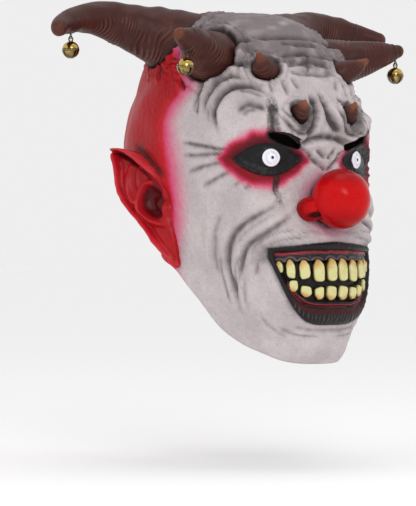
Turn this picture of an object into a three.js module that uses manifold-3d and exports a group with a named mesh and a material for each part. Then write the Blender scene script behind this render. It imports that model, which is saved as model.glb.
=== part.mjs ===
// Clown mask of cast latex that goes over the whole head, with horns, bells, a ball nose and teeth.
// Millimetres, +Z up. The wearer faces -Y and the wearer's left is +X.
// The origin is inside the crown, where the mask sits on the head.

import * as THREE from 'three';
import { mergeVertices } from 'three/addons/utils/BufferGeometryUtils.js';
import Module from 'manifold-3d';

const wasm = await Module();
wasm.setup();

// Driving dimensions
const WALL = 2.4;
const GAP = 0.35;
const AXIS_AHEAD = 10;
const HEAD_COLUMNS = 36;
const HEAD_ROWS = 27;
const INNER_COLUMNS = 20;
const INNER_ROWS = 21;
const HEM_SEGMENTS = 3;
const FRONT_BIAS = 0.35;
const FACING_EASE = 0.35;
const FAR = 400;
const SMALLEST = 0.01;
const SURFACE_STEP = 0.02;
const PATH_STEP = 0.05;
const CROWN_PINCH = 0.999;
const MERGE_DISTANCE = 1e-4;
const PRISM_SEGMENTS = 12;

// Head sections from the crown down: half width, reach ahead and behind, squareness of the face and the nape
const HEAD_SECTIONS = [
  { z: 2.4, half: 0, ahead: 10, behind: -10, face: 2.0, nape: 2.0 },
  { z: 1.0, half: 27, ahead: 41, behind: 22, face: 2.0, nape: 2.0 },
  { z: -4, half: 44, ahead: 60, behind: 44, face: 2.0, nape: 2.0 },
  { z: -15, half: 58, ahead: 77, behind: 64, face: 2.0, nape: 2.0 },
  { z: -33, half: 68, ahead: 92, behind: 79, face: 2.1, nape: 2.0 },
  { z: -54, half: 75, ahead: 106, behind: 87, face: 2.3, nape: 2.0 },
  { z: -80, half: 83, ahead: 118, behind: 97, face: 2.6, nape: 2.0 },
  { z: -106, half: 87, ahead: 119, behind: 103, face: 3.0, nape: 2.0 },
  { z: -133, half: 85, ahead: 118, behind: 96, face: 3.0, nape: 1.9 },
  { z: -160, half: 81, ahead: 118, behind: 80, face: 3.0, nape: 1.75 },
  { z: -186, half: 77, ahead: 131, behind: 62, face: 2.6, nape: 1.55 },
  { z: -212, half: 74, ahead: 139, behind: 50, face: 2.4, nape: 1.5 },
  { z: -240, half: 68, ahead: 136, behind: 46, face: 2.45, nape: 1.5 },
  { z: -265, half: 59, ahead: 124, behind: 42, face: 2.5, nape: 1.5 },
  { z: -284, half: 48, ahead: 114, behind: 38, face: 2.7, nape: 1.5 },
  { z: -302, half: 40, ahead: 96, behind: 34, face: 2.5, nape: 1.5 },
];

// Raised and sunk forms of the face: place, spread and push along the outward direction
const FACE_FORMS = [
  { name: 'brow', out: 27, z: -91, across: 19, along: 9, push: 4.5 },
  { name: 'eye_socket', out: 43, z: -119, across: 22, along: 15, push: -7.5 },
  { name: 'eyeball', out: 43, z: -120, across: 13, along: 9, push: 4.5 },
  { name: 'nose_bridge', out: 0, z: -128, across: 11, along: 18, push: 3 },
  { name: 'cheek', out: 55, z: -160, across: 20, along: 18, push: 5 },
  { name: 'smile_fold', out: 64, z: -207, across: 7, along: 30, push: -5 },
  { name: 'jowl', out: 74, z: -214, across: 8, along: 24, push: 3 },
  { name: 'chin_crease', out: 0, z: -261, across: 32, along: 9, push: -3.5 },
  { name: 'chin', out: 0, z: -277, across: 28, along: 11, push: 4 },
];

// Lower edge of the mask seen from the side
const HEM = [
  { ahead: 150, z: -287 },
  { ahead: 112, z: -286 },
  { ahead: 90, z: -277 },
  { ahead: 74, z: -269 },
  { ahead: 58, z: -256 },
  { ahead: 38, z: -231 },
  { ahead: 19, z: -214 },
  { ahead: -14, z: -202 },
  { ahead: -60, z: -193 },
  { ahead: -140, z: -190 },
];

// Mouth: the opening between the lips, the lips round it and the pocket behind it, with blunt corners
const MOUTH = { half: 50.5, corner: -197, end: 2, top: 2.5, drop: 45, bow: 5, power: 1 };
const LIPS = { half: 53, corner: -197, end: 4, top: 8.5, drop: 60, bow: 4, power: 1.2 };
const LIP_TOP_POWER = 6;
const MOUTH_POINTS = 12;
const LIP_PROUD = 2.2;
const POCKET_DEPTH = 9;
const TOOTH_FRONT = 1.2;
const GUM_FRONT = 3.2;
const GUM_HEIGHT = { upper: 9, lower: 5 };
const GUM_END = 1.2;

const UPPER_TEETH = [
  { out: 6, width: 10.2, top: -200.5, bottom: -219.8 },
  { out: 18.7, width: 10.5, top: -201.5, bottom: -220.3 },
  { out: 30.5, width: 8.7, top: -202, bottom: -218 },
  { out: 40.3, width: 6.1, top: -201.5, bottom: -217.5 },
  { out: 47, width: 4, top: -203, bottom: -213 },
];
const LOWER_TEETH = [
  { out: 6.5, width: 10.3, top: -223, bottom: -239 },
  { out: 18, width: 8.6, top: -224, bottom: -239 },
  { out: 29, width: 8.8, top: -223, bottom: -237 },
  { out: 38.2, width: 6, top: -218.5, bottom: -231 },
];
// Half outline of a tooth: share of its half width, and of the way from its root to its biting edge
const TOOTH_OUTLINE = [
  { across: 0.78, down: 0 },
  { across: 1, down: 0.5 },
  { across: 0.85, down: 0.9 },
  { across: 0.4, down: 1 },
];

const EYE_SLIT = { out: 35.5, z: -106.2, length: 30, height: 8, tilt: 0.34 };

// Nose: a ball with a nostril wing on each side
const NOSE = { ahead: 140, z: -154, radius: 24, sides: 16, rows: 10, hole: 7.5, holeSides: 14 };
const NOSE_HOLLOW = { sides: 10, rows: 7 };
const NOSE_WING = { out: 19, ahead: 124, z: -162, across: 10.5, deep: 13, tall: 10, sides: 8, rows: 5 };

// Horns: stations from the root, which starts inside the head, to the tip
const BACK_HORN = [
  { out: 34, ahead: 0, z: -29, radius: 30 },
  { out: 60, ahead: -14, z: -19, radius: 26 },
  { out: 86, ahead: -24, z: -11, radius: 19.5 },
  { out: 112, ahead: -28, z: -5, radius: 15 },
  { out: 138, ahead: -25, z: -6, radius: 11.2 },
  { out: 158, ahead: -18, z: -11.5, radius: 9 },
  { out: 171, ahead: -8, z: -16, radius: 6.8 },
];
const FRONT_HORN = [
  { out: 44, ahead: 38, z: -42, radius: 24 },
  { out: 62, ahead: 51, z: -39, radius: 22 },
  { out: 80, ahead: 63, z: -34, radius: 16.5 },
  { out: 99, ahead: 73, z: -29, radius: 11.5 },
  { out: 115, ahead: 79, z: -24.5, radius: 5.6 },
];
// The soft horns don't sit level: how far each one is lifted at its tip
const HORN_LIFT = { back: { right: 0, left: 7 }, front: { right: 0, left: -2.5 } };
const HORN_SIDES = 11;
const HORN_STEPS = 8;
const HORN_CORE_SIDES = 8;
const HORN_CORE_STEPS = 5;
const HORN_CORE_END = 0.86;
const NUB_STEPS = 2;
const NUB_REACH = 0.4;

const CROWN_SPIKE = [
  { out: 30, ahead: 84, z: -56, radius: 11.5 },
  { out: 40, ahead: 93, z: -50, radius: 10.2 },
  { out: 50, ahead: 101, z: -44.5, radius: 6.6 },
  { out: 56.5, ahead: 105.5, z: -39.5, radius: 2.4 },
];
const BROW_SPIKE = [
  { out: 25, ahead: 108, z: -92, radius: 9.5 },
  { out: 26, ahead: 117, z: -85.5, radius: 8 },
  { out: 27.3, ahead: 123.5, z: -79, radius: 4.6 },
  { out: 27.7, ahead: 126, z: -74, radius: 1.6 },
];
const SPIKE_SIDES = 8;
const SPIKE_STEPS = 3;

// Ear: lines across it from the front edge to the outer rim, from the tip to the lobe
const EAR_LINES = [
  { frontAhead: -36, frontZ: -110, frontOut: 96.5, rimAhead: -40, rimZ: -110.5, rimOut: 97 },
  { frontAhead: -25, frontZ: -112, frontOut: 95, rimAhead: -37, rimZ: -117, rimOut: 97.5 },
  { frontAhead: -10, frontZ: -124, frontOut: 92, rimAhead: -32, rimZ: -128, rimOut: 98 },
  { frontAhead: 4, frontZ: -139, frontOut: 90, rimAhead: -28, rimZ: -145, rimOut: 98 },
  { frontAhead: 16, frontZ: -153, frontOut: 88, rimAhead: -18, rimZ: -158.5, rimOut: 97 },
  { frontAhead: 25, frontZ: -168, frontOut: 86, rimAhead: -4, rimZ: -171.5, rimOut: 94 },
  { frontAhead: 29, frontZ: -186, frontOut: 82, rimAhead: 10, rimZ: -189, rimOut: 88 },
  { frontAhead: 30, frontZ: -205, frontOut: 77, rimAhead: 22, rimZ: -209, rimOut: 79 },
];
// Section of the ear along such a line: share of the way to the rim and how far it stands out
const EAR_FACE = [
  { share: 0, proud: 1 },
  { share: 0.2, proud: -5 },
  { share: 0.45, proud: -7 },
  { share: 0.62, proud: -1.5 },
  { share: 0.82, proud: -3.5 },
  { share: 1, proud: 1 },
];
const EAR_CUP_SPAN = 30;
const EAR_ROOT_FROM = -8;
const EAR_ROOT_TO = 14;
const EAR_THICKNESS = 4;
const EAR_ROOT_DEPTH = 26;
const EAR_ROOT_SHARE = 0.5;

// Jingle bell with a ring soldered to its top, and the thread that ties it to its horn
const BELL = { radius: 7.3, wall: 0.9, slot: 1.5, slotTop: -1.2, ringSink: 0.54, sides: 10, rows: 5 };
const RING = { radius: 1.9, wire: 0.6, sides: 8, wireSides: 5 };
const TIE = { thread: 0.7, sides: 13, threadSides: 4, loop: 1.5, loopSides: 7, loopDrop: 0.28 };
const TIE_STATION = { back: { right: 0.784, left: 0.784 }, front: { right: 0.835, left: 0.93 } };

const FINISH = {
  face: { color: '#cfc6c8', roughness: 0.55, metalness: 0 },
  ear: { color: '#b8141e', roughness: 0.45, metalness: 0 },
  horn: { color: '#5a342d', roughness: 0.5, metalness: 0 },
  nose: { color: '#c8141a', roughness: 0.25, metalness: 0 },
  teeth: { color: '#d8cf7a', roughness: 0.4, metalness: 0 },
  brass: { color: '#c9a227', roughness: 0.2, metalness: 1 },
  thread: { color: '#181617', roughness: 0.9, metalness: 0 },
};

const place = (out, ahead, z) => new THREE.Vector3(out, -ahead, z);
const upright = new THREE.Vector3(0, 0, 1);

// Smooth value of one column of a table at a fractional row
function tableValue(table, column, row) {
  const last = table.length - 1;
  const index = Math.min(Math.floor(row), last - 1);
  const t = row - index;
  const pick = (i) => table[THREE.MathUtils.clamp(i, 0, last)][column];
  const [p0, p1, p2, p3] = [pick(index - 1), pick(index), pick(index + 1), pick(index + 2)];
  const m1 = (p2 - p0) / 2;
  const m2 = (p3 - p1) / 2;
  const t2 = t * t;
  const t3 = t2 * t;
  return (2 * t3 - 3 * t2 + 1) * p1 + (t3 - 2 * t2 + t) * m1 + (3 * t2 - 2 * t3) * p2 + (t3 - t2) * m2;
}

// Closed geometry with its faces turned outwards
function closedGeometry(points, faces) {
  let volume = 0;
  for (const [a, b, c] of faces) {
    volume += points[a].dot(new THREE.Vector3().crossVectors(points[b], points[c]));
  }
  const outward = volume < 0 ? faces.map(([a, b, c]) => [a, c, b]) : faces;
  const geometry = new THREE.BufferGeometry();
  geometry.setAttribute('position', new THREE.Float32BufferAttribute(points.flatMap((p) => p.toArray()), 3));
  geometry.setIndex(outward.flat());
  return geometry;
}

// Closed skin through a list of rings with equal numbers of points
function loft(rings) {
  const count = rings[0].length;
  const points = rings.flat();
  const faces = [];
  for (let r = 0; r + 1 < rings.length; r += 1) {
    for (let i = 0; i < count; i += 1) {
      const a = r * count + i;
      const b = r * count + ((i + 1) % count);
      faces.push([a, b, b + count], [a, b + count, a + count]);
    }
  }
  const middle = (ring) => ring.reduce((sum, p) => sum.add(p), new THREE.Vector3()).divideScalar(count);
  const lastRing = (rings.length - 1) * count;
  const startCap = points.push(middle(rings[0])) - 1;
  const endCap = points.push(middle(rings[rings.length - 1])) - 1;
  for (let i = 0; i < count; i += 1) {
    const next = (i + 1) % count;
    faces.push([startCap, next, i], [endCap, lastRing + i, lastRing + next]);
  }
  return closedGeometry(points, faces);
}

function solidOf(geometry) {
  const bare = geometry.clone();
  bare.deleteAttribute('normal');
  bare.deleteAttribute('uv');
  const merged = mergeVertices(bare, MERGE_DISTANCE);
  const vertProperties = new Float32Array(merged.attributes.position.array);
  const triVerts = new Uint32Array(merged.index.array);
  return new wasm.Manifold(new wasm.Mesh({ numProp: 3, vertProperties, triVerts }));
}

function geometryOf(solid) {
  const mesh = solid.getMesh();
  const geometry = new THREE.BufferGeometry();
  geometry.setAttribute('position', new THREE.Float32BufferAttribute(mesh.vertProperties, 3));
  geometry.setIndex(new THREE.Uint32BufferAttribute(mesh.triVerts, 1));
  geometry.computeVertexNormals();
  return geometry;
}

const joined = (solids) => solids.reduce((whole, solid) => whole.add(solid));

// Prism that runs along the wearer's line of sight from an outline in out and z
function sightPrism(shape) {
  const options = { depth: FAR, bevelEnabled: false, curveSegments: PRISM_SEGMENTS };
  const geometry = new THREE.ExtrudeGeometry(shape, options);
  geometry.rotateX(Math.PI / 2);
  return solidOf(geometry);
}

// Point of the head's outer surface at a section row and an angle from straight ahead
function headPoint(row, angle) {
  const value = (column) => tableValue(HEAD_SECTIONS, column, row);
  const z = value('z');
  const half = Math.max(value('half'), SMALLEST);
  const sine = Math.sin(angle);
  const cosine = Math.cos(angle);
  const front = cosine > 0;
  const reach = Math.max(front ? value('ahead') - AXIS_AHEAD : value('behind') + AXIS_AHEAD, SMALLEST);
  const power = value(front ? 'face' : 'nape');
  const level = Math.abs(sine / half) ** power + Math.abs(cosine / reach) ** power;
  const radius = level ** (-1 / power);
  const out = Math.abs(radius * sine);
  const facing = THREE.MathUtils.smoothstep(cosine, 0, FACING_EASE);
  const push = FACE_FORMS.reduce((sum, form) => {
    const dx = (out - form.out) / form.across;
    const dz = (z - form.z) / form.along;
    return sum + form.push * Math.exp(-dx * dx - dz * dz);
  }, 0);
  const grown = radius + push * facing;
  return place(grown * sine, AXIS_AHEAD + grown * cosine, z);
}

// Solid head whose skin lies a given depth under the outer surface
function headSolid(depth, rowCount = HEAD_ROWS, columnCount = HEAD_COLUMNS) {
  const lastRow = HEAD_SECTIONS.length - 1;
  const rings = [];
  for (let r = 1; r <= rowCount; r += 1) {
    const row = (r / rowCount) * lastRow;
    const ring = [];
    for (let c = 0; c < columnCount; c += 1) {
      const turn = (2 * Math.PI * c) / columnCount;
      const angle = turn - FRONT_BIAS * Math.sin(turn);
      const point = headPoint(row, angle);
      const below = headPoint(Math.min(row + SURFACE_STEP, lastRow), angle);
      const down = below.sub(headPoint(row - SURFACE_STEP, angle));
      const round = headPoint(row, angle + SURFACE_STEP).sub(headPoint(row, angle - SURFACE_STEP));
      const normal = new THREE.Vector3().crossVectors(round, down).normalize().negate();
      ring.push(point.addScaledVector(normal, -depth));
    }
    rings.push(ring);
  }
  const base = rings[rings.length - 1].map((p) => new THREE.Vector3(p.x, p.y, p.z - depth));
  const crown = place(0, AXIS_AHEAD, HEAD_SECTIONS[0].z - depth);
  const top = rings[0].map((p) => p.clone().lerp(crown, CROWN_PINCH));
  return solidOf(loft([top, ...rings, base]));
}

// Outline of the mouth or the lips, from one corner over the top to the other and back below
function mouthOutline({ half, corner, end, top, drop, bow, power }, inset = 0) {
  const width = half - inset;
  const blunt = end - inset;
  const upper = [];
  const lower = [];
  for (let i = 0; i <= MOUTH_POINTS; i += 1) {
    const share = -Math.cos((Math.PI * i) / MOUTH_POINTS);
    const rise = blunt + (top - end) * (1 - Math.abs(share) ** LIP_TOP_POWER);
    const fall = blunt + (drop - end) * (1 - Math.abs(share) ** bow) ** power;
    upper.push(new THREE.Vector2(share * width, corner + rise));
    lower.push(new THREE.Vector2(-share * width, corner - fall));
  }
  return new THREE.Shape([...upper, ...lower]);
}

function toothShape({ out, width, top, bottom }, side, downward) {
  const bitingEnd = downward ? bottom : top;
  const rootEnd = downward ? top : bottom;
  const edge = (way) => TOOTH_OUTLINE.map(({ across, down }) => new THREE.Vector2(
    side * out + (way * across * width) / 2, THREE.MathUtils.lerp(rootEnd, bitingEnd, down)));
  return new THREE.Shape([...edge(-1), ...edge(1).reverse()]);
}

// One row of teeth on its gum bar, filling the mouth pocket's depth
function teethRow(table, downward) {
  const back = headSolid(POCKET_DEPTH - GAP);
  const mouth = sightPrism(mouthOutline(MOUTH, GAP));
  const prisms = [-1, 1].flatMap((side) => table.map((row) => sightPrism(toothShape(row, side, downward))));
  const teeth = joined(prisms).intersect(mouth).intersect(headSolid(TOOTH_FRONT));
  const shift = downward ? -GUM_HEIGHT.upper : GUM_HEIGHT.lower;
  const cut = mouthOutline({ ...MOUTH, half: LIPS.half, corner: MOUTH.corner + shift }, GAP);
  const { out, width } = table[table.length - 1];
  const reach = out + width / 2 + GUM_END;
  const corners = [[-reach, -FAR], [reach, -FAR], [reach, 0], [-reach, 0]];
  const span = sightPrism(new THREE.Shape(corners.map(([x, z]) => new THREE.Vector2(x, z))));
  const bar = mouth.subtract(sightPrism(cut)).intersect(headSolid(GUM_FRONT)).intersect(span);
  return teeth.add(bar).subtract(back);
}

// Rings along a table of stations, with the tip rounded off
function stationRings(table, { sides, steps, thin = 0, end = 1, side }) {
  const last = table.length - 1;
  const at = (row) => place(
    side * tableValue(table, 'out', row), tableValue(table, 'ahead', row), tableValue(table, 'z', row));
  const rings = [];
  const ring = (centre, along, radius) => {
    const across = new THREE.Vector3().crossVectors(along, upright).normalize();
    const up = new THREE.Vector3().crossVectors(across, along).normalize();
    return Array.from({ length: sides }, (_, i) => {
      const turn = (2 * Math.PI * i) / sides;
      return centre.clone()
        .addScaledVector(across, radius * Math.cos(turn))
        .addScaledVector(up, radius * Math.sin(turn));
    });
  };
  const ahead = (row) => at(Math.min(row + PATH_STEP, last));
  const direction = (row) => ahead(row).sub(at(Math.max(row - PATH_STEP, 0))).normalize();
  for (let i = 0; i <= steps; i += 1) {
    const row = (i / steps) * last * end;
    rings.push(ring(at(row), direction(row), tableValue(table, 'radius', row) - thin));
  }
  const tip = at(last * end);
  const along = direction(last * end);
  const radius = tableValue(table, 'radius', last * end) - thin;
  for (let i = 1; i <= NUB_STEPS; i += 1) {
    const bend = (Math.PI * i) / (2 * (NUB_STEPS + NUB_REACH));
    const centre = tip.clone().addScaledVector(along, radius * Math.sin(bend));
    rings.push(ring(centre, along, radius * Math.cos(bend)));
  }
  return rings;
}

const hornBody = (table, side) => solidOf(loft(stationRings(table, {
  sides: HORN_SIDES, steps: HORN_STEPS, side,
})));
const hornCore = (table, side) => solidOf(loft(stationRings(table, {
  sides: HORN_CORE_SIDES, steps: HORN_CORE_STEPS, thin: WALL, end: HORN_CORE_END, side,
})));
const spikeBody = (table, side) => solidOf(loft(stationRings(table, {
  sides: SPIKE_SIDES, steps: SPIKE_STEPS, side,
})));

// Ear as a cupped leaf whose front half is rooted in the head
function earBody(side) {
  const rings = EAR_LINES.map((line) => {
    const along = (share, depth) => place(
      side * (THREE.MathUtils.lerp(line.frontOut, line.rimOut, share) + depth),
      THREE.MathUtils.lerp(line.frontAhead, line.rimAhead, share),
      THREE.MathUtils.lerp(line.frontZ, line.rimZ, share));
    const span = Math.hypot(line.frontAhead - line.rimAhead, line.frontZ - line.rimZ);
    const cup = Math.min(span / EAR_CUP_SPAN, 1);
    const rooted = THREE.MathUtils.smoothstep(line.frontAhead, EAR_ROOT_FROM, EAR_ROOT_TO);
    const outer = EAR_FACE.map(({ share, proud }) => along(share, proud * cup));
    const inner = [...EAR_FACE].reverse().map(({ share, proud }) => {
      const root = share < EAR_ROOT_SHARE ? EAR_ROOT_DEPTH * rooted : 0;
      return along(share, proud * cup - EAR_THICKNESS - root);
    });
    return [...outer, ...inner];
  });
  return solidOf(loft(rings));
}

function noseBody() {
  const ball = new THREE.SphereGeometry(NOSE.radius, NOSE.sides, NOSE.rows).translate(0, -NOSE.ahead, NOSE.z);
  const wings = [-1, 1].map((side) => {
    const wing = new THREE.SphereGeometry(1, NOSE_WING.sides, NOSE_WING.rows);
    wing.scale(NOSE_WING.across, NOSE_WING.deep, NOSE_WING.tall);
    wing.translate(side * NOSE_WING.out, -NOSE_WING.ahead, NOSE_WING.z);
    return solidOf(wing);
  });
  return joined([solidOf(ball), ...wings]);
}

function noseHollow() {
  const ball = new THREE.SphereGeometry(NOSE.radius - WALL, NOSE_HOLLOW.sides, NOSE_HOLLOW.rows);
  ball.translate(0, -NOSE.ahead, NOSE.z);
  const hole = new THREE.CylinderGeometry(NOSE.hole, NOSE.hole, NOSE.radius * 2, NOSE.holeSides);
  hole.translate(0, -(NOSE.ahead - NOSE.radius), NOSE.z);
  return solidOf(ball).add(solidOf(hole));
}

function slitShape(side) {
  const { out, z, length, height, tilt } = EYE_SLIT;
  const shape = new THREE.Shape();
  shape.absellipse(side * out, z, length / 2, height / 2, 0, 2 * Math.PI, false, side * tilt);
  return shape;
}

// Everything below the mask's lower edge
function belowHem() {
  const edge = HEM.map(({ ahead, z }) => new THREE.Vector2(ahead, z));
  const shape = new THREE.Shape();
  shape.moveTo(edge[0].x, edge[0].y);
  shape.splineThru(edge.slice(1));
  shape.lineTo(edge[edge.length - 1].x, -FAR);
  shape.lineTo(edge[0].x, -FAR);
  const options = { depth: FAR, bevelEnabled: false, curveSegments: HEM_SEGMENTS };
  const geometry = new THREE.ExtrudeGeometry(shape, options);
  geometry.translate(0, 0, -FAR / 2);
  const basis = new THREE.Matrix4().makeBasis(place(0, 1, 0), upright, place(-1, 0, 0));
  geometry.applyMatrix4(basis);
  return solidOf(geometry);
}

// Hollow hood and face: skin, lips and mouth pocket, less the hollow, the slits and the horn roots
function faceShell(cores) {
  const mouth = sightPrism(mouthOutline(MOUTH));
  const lips = sightPrism(mouthOutline(LIPS)).subtract(mouth).intersect(headSolid(-LIP_PROUD));
  const pocket = mouth.subtract(headSolid(POCKET_DEPTH));
  const skin = headSolid(0).add(lips).subtract(pocket);
  const pocketBack = sightPrism(mouthOutline(MOUTH, -WALL)).subtract(headSolid(POCKET_DEPTH + WALL));
  const hollow = headSolid(WALL, INNER_ROWS, INNER_COLUMNS).subtract(pocketBack);
  const cuts = [hollow, belowHem(), noseHollow(), ...cores];
  const slits = [-1, 1].map((side) => sightPrism(slitShape(side)));
  return [...cuts, ...slits].reduce((whole, cut) => whole.subtract(cut), skin);
}

function torus(radius, tube, tubeSides, sides) {
  return new THREE.TorusGeometry(radius, tube, tubeSides, sides);
}

// Bell with a cross slot below and its ring above, and the thread loop that carries the ring
function bellAndTie(table, station, side) {
  const last = table.length - 1;
  const row = last * station;
  const at = (r) => place(
    side * tableValue(table, 'out', r), tableValue(table, 'ahead', r), tableValue(table, 'z', r));
  const along = at(Math.min(row + PATH_STEP, last)).sub(at(row - PATH_STEP)).normalize();
  const centre = at(row);
  const hoopRadius = (tableValue(table, 'radius', row) + GAP + TIE.thread) / Math.cos(Math.PI / TIE.sides);
  const turn = new THREE.Quaternion().setFromUnitVectors(upright, along);
  const hoop = torus(hoopRadius, TIE.thread, TIE.threadSides, TIE.sides).applyQuaternion(turn)
    .translate(centre.x, centre.y, centre.z);
  const downward = upright.clone().addScaledVector(along, -upright.dot(along)).normalize().negate();
  const low = centre.clone().addScaledVector(downward, hoopRadius);
  const loopZ = low.z - TIE.loop - TIE.loopDrop;
  const loop = torus(TIE.loop, TIE.thread, TIE.threadSides, TIE.loopSides).rotateY(Math.PI / 2)
    .rotateX(Math.PI / 2).translate(low.x, low.y, loopZ);
  const ringZ = loopZ - TIE.loop - RING.radius + TIE.thread + RING.wire + GAP;
  const ring = torus(RING.radius, RING.wire, RING.wireSides, RING.sides).rotateX(Math.PI / 2)
    .translate(low.x, low.y, ringZ);
  const bellZ = ringZ - RING.radius - BELL.radius + BELL.ringSink;
  const round = (radius) => new THREE.SphereGeometry(radius, BELL.sides, BELL.rows).rotateX(Math.PI / 2)
    .translate(low.x, low.y, bellZ);
  const slots = [[BELL.slot, 2 * BELL.radius], [2 * BELL.radius, BELL.slot]].map(([x, y]) => {
    const slot = new THREE.BoxGeometry(x, y, BELL.radius);
    return solidOf(slot.translate(low.x, low.y, bellZ + BELL.slotTop - BELL.radius / 2));
  });
  const inside = solidOf(round(BELL.radius - BELL.wall));
  const shell = solidOf(round(BELL.radius)).add(solidOf(ring)).subtract(inside);
  return {
    tie: solidOf(hoop).add(solidOf(loop)),
    bell: slots.reduce((whole, slot) => whole.subtract(slot), shell),
  };
}

const mask = new THREE.Group();

function addPiece(name, solid, finish) {
  const mesh = new THREE.Mesh(geometryOf(solid), new THREE.MeshStandardMaterial(finish));
  mesh.name = name;
  mask.add(mesh);
}

const seat = headSolid(-GAP);
const SIDES = [{ name: 'right', side: -1 }, { name: 'left', side: 1 }];
const HORNS = [{ name: 'back', table: BACK_HORN }, { name: 'front', table: FRONT_HORN }];

const lifted = (table, lift) => table.map((row, i) => ({
  ...row, z: row.z + (lift * i) / (table.length - 1),
}));

const horns = SIDES.flatMap(({ name: sideName, side }) => HORNS.map(({ name: hornName, table }) => ({
  hornName, sideName, side, table: lifted(table, HORN_LIFT[hornName][sideName]),
})));

addPiece('face_shell', faceShell(horns.map(({ table, side }) => hornCore(table, side))), FINISH.face);
addPiece('nose', noseBody().subtract(noseHollow()).subtract(seat), FINISH.nose);
addPiece('upper_teeth', teethRow(UPPER_TEETH, true), FINISH.teeth);
addPiece('lower_teeth', teethRow(LOWER_TEETH, false), FINISH.teeth);

for (const { name, side } of SIDES) {
  addPiece(`ear_${name}`, earBody(side).subtract(seat), FINISH.ear);
  addPiece(`crown_spike_${name}`, spikeBody(CROWN_SPIKE, side).subtract(seat), FINISH.horn);
  addPiece(`brow_spike_${name}`, spikeBody(BROW_SPIKE, side).subtract(seat), FINISH.horn);
}

for (const { hornName, sideName, side, table } of horns) {
  const horn = hornBody(table, side).subtract(hornCore(table, side)).subtract(seat);
  const { tie, bell } = bellAndTie(table, TIE_STATION[hornName][sideName], side);
  addPiece(`${hornName}_horn_${sideName}`, horn, FINISH.horn);
  addPiece(`tie_${hornName}_${sideName}`, tie, FINISH.thread);
  addPiece(`bell_${hornName}_${sideName}`, bell, FINISH.brass);
}

export default mask;
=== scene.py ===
"""Looks of a clown mask: cast latex painted by airbrush, with horns, brass bells, a ball nose and teeth.

Lengths are millimetres until a mesh is made, +Z is up and the face looks along -Y.
"""

from __future__ import annotations

import logging
import math
from dataclasses import dataclass
from enum import Enum
from typing import Sequence

import bmesh
import bpy
import numpy as np
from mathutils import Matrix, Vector

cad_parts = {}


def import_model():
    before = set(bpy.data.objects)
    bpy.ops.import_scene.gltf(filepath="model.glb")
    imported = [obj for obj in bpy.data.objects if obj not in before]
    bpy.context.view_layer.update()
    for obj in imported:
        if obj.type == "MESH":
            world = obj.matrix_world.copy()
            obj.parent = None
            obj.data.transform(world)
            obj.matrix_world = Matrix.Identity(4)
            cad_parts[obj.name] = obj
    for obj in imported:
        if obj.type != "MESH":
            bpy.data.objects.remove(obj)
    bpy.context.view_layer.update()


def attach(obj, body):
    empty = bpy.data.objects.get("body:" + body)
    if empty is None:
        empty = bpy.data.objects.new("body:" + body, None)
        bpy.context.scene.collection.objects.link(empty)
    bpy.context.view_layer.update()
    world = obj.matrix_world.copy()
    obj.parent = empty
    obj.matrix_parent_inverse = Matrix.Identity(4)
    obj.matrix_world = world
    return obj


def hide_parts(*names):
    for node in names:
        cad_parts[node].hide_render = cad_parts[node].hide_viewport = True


Array = np.ndarray
Socket = bpy.types.NodeSocket
Tree = bpy.types.NodeTree
Material = bpy.types.Material
Piece = bpy.types.Object
Colour = tuple[float, float, float, float]
Line = tuple[tuple[float, float], ...]
Marks = dict[str, Array]
Part = tuple[Array, list, Marks]

LOG = logging.getLogger("mask")
MM = 0.001
BODY = "root"
WALL_MM = 2.4
MM_PER_DEGREE = 1.85
FAR_OUTSIDE = -50.0
TINY = 1e-9
FULL_TURN = 2 * math.pi
LEFTWARD = np.array([1.0, 0.0, 0.0])
BACKWARD = np.array([0.0, 1.0, 0.0])
UPWARD = np.array([0.0, 0.0, 1.0])


class Side(Enum):
    """Own right or left side of the mask, as the sign of X."""

    RIGHT = -1
    LEFT = 1

    @property
    def label(self) -> str:
        """Plain word that ends a node's name."""
        return self.name.lower()


class Jaw(Enum):
    """Row of teeth, as the way its crowns point."""

    UPPER = -1
    LOWER = 1


# Curves and patterns


def smoothstep(low: float, high: float, value: Array) -> Array:
    """Ease from 0 at low to 1 at high."""
    share = np.clip((value - low) / (high - low), 0, 1)
    return share * share * (3 - 2 * share)


def bell_curve(distance: Array, width: float) -> Array:
    """Fall smoothly from 1 at no distance to nearly 0 at twice the width."""
    return np.exp(-(distance / width) ** 2)


@dataclass(frozen=True)
class Ramp:
    """Smooth change from low at its start to high at its end."""

    start: float
    end: float
    high: float = 1.0
    low: float = 0.0

    def at(self, value: Array) -> Array:
        """Amount at a value."""
        return self.low + (self.high - self.low) * smoothstep(self.start, self.end, value)


@dataclass(frozen=True)
class Ridge:
    """Rounded ridge along an edge, or a groove: distance from the edge, half width and height."""

    place: float
    width: float
    height: float = 1.0

    def at(self, distance: Array) -> Array:
        """Height at a distance from the edge."""
        return self.height * bell_curve(distance - self.place, self.width)


@dataclass(frozen=True)
class Waves:
    """Uneven waves of a surface worked by hand: typical length, seed, height and squeeze of each axis."""

    wavelength: float
    seed: int
    height: float = 1.0
    squeeze: tuple[float, float, float] = (1.0, 1.0, 1.0)
    count: int = 18
    spread: tuple[float, float] = (0.7, 1.4)

    def at(self, points: Array) -> Array:
        """Sum of plane waves with headings of their own.

        Args:
            points: positions with three columns.

        Returns:
            One value for each point, roughly up to the height both ways.
        """
        rng = np.random.default_rng(self.seed)
        heading = unit(rng.normal(size=(self.count, 3)))
        length = self.wavelength * rng.uniform(*self.spread, self.count)
        phase = rng.uniform(0, FULL_TURN, self.count)
        places = points * self.squeeze
        total = np.zeros(points.shape[:-1])
        for k in range(self.count):
            total += np.sin(places @ heading[k] * (FULL_TURN / length[k]) + phase[k])
        return self.height * (total / math.sqrt(self.count))


def unit(vectors: Array) -> Array:
    """Directions of vectors, with a length of one."""
    return vectors / np.maximum(np.linalg.norm(vectors, axis=-1), TINY)[..., None]


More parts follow.
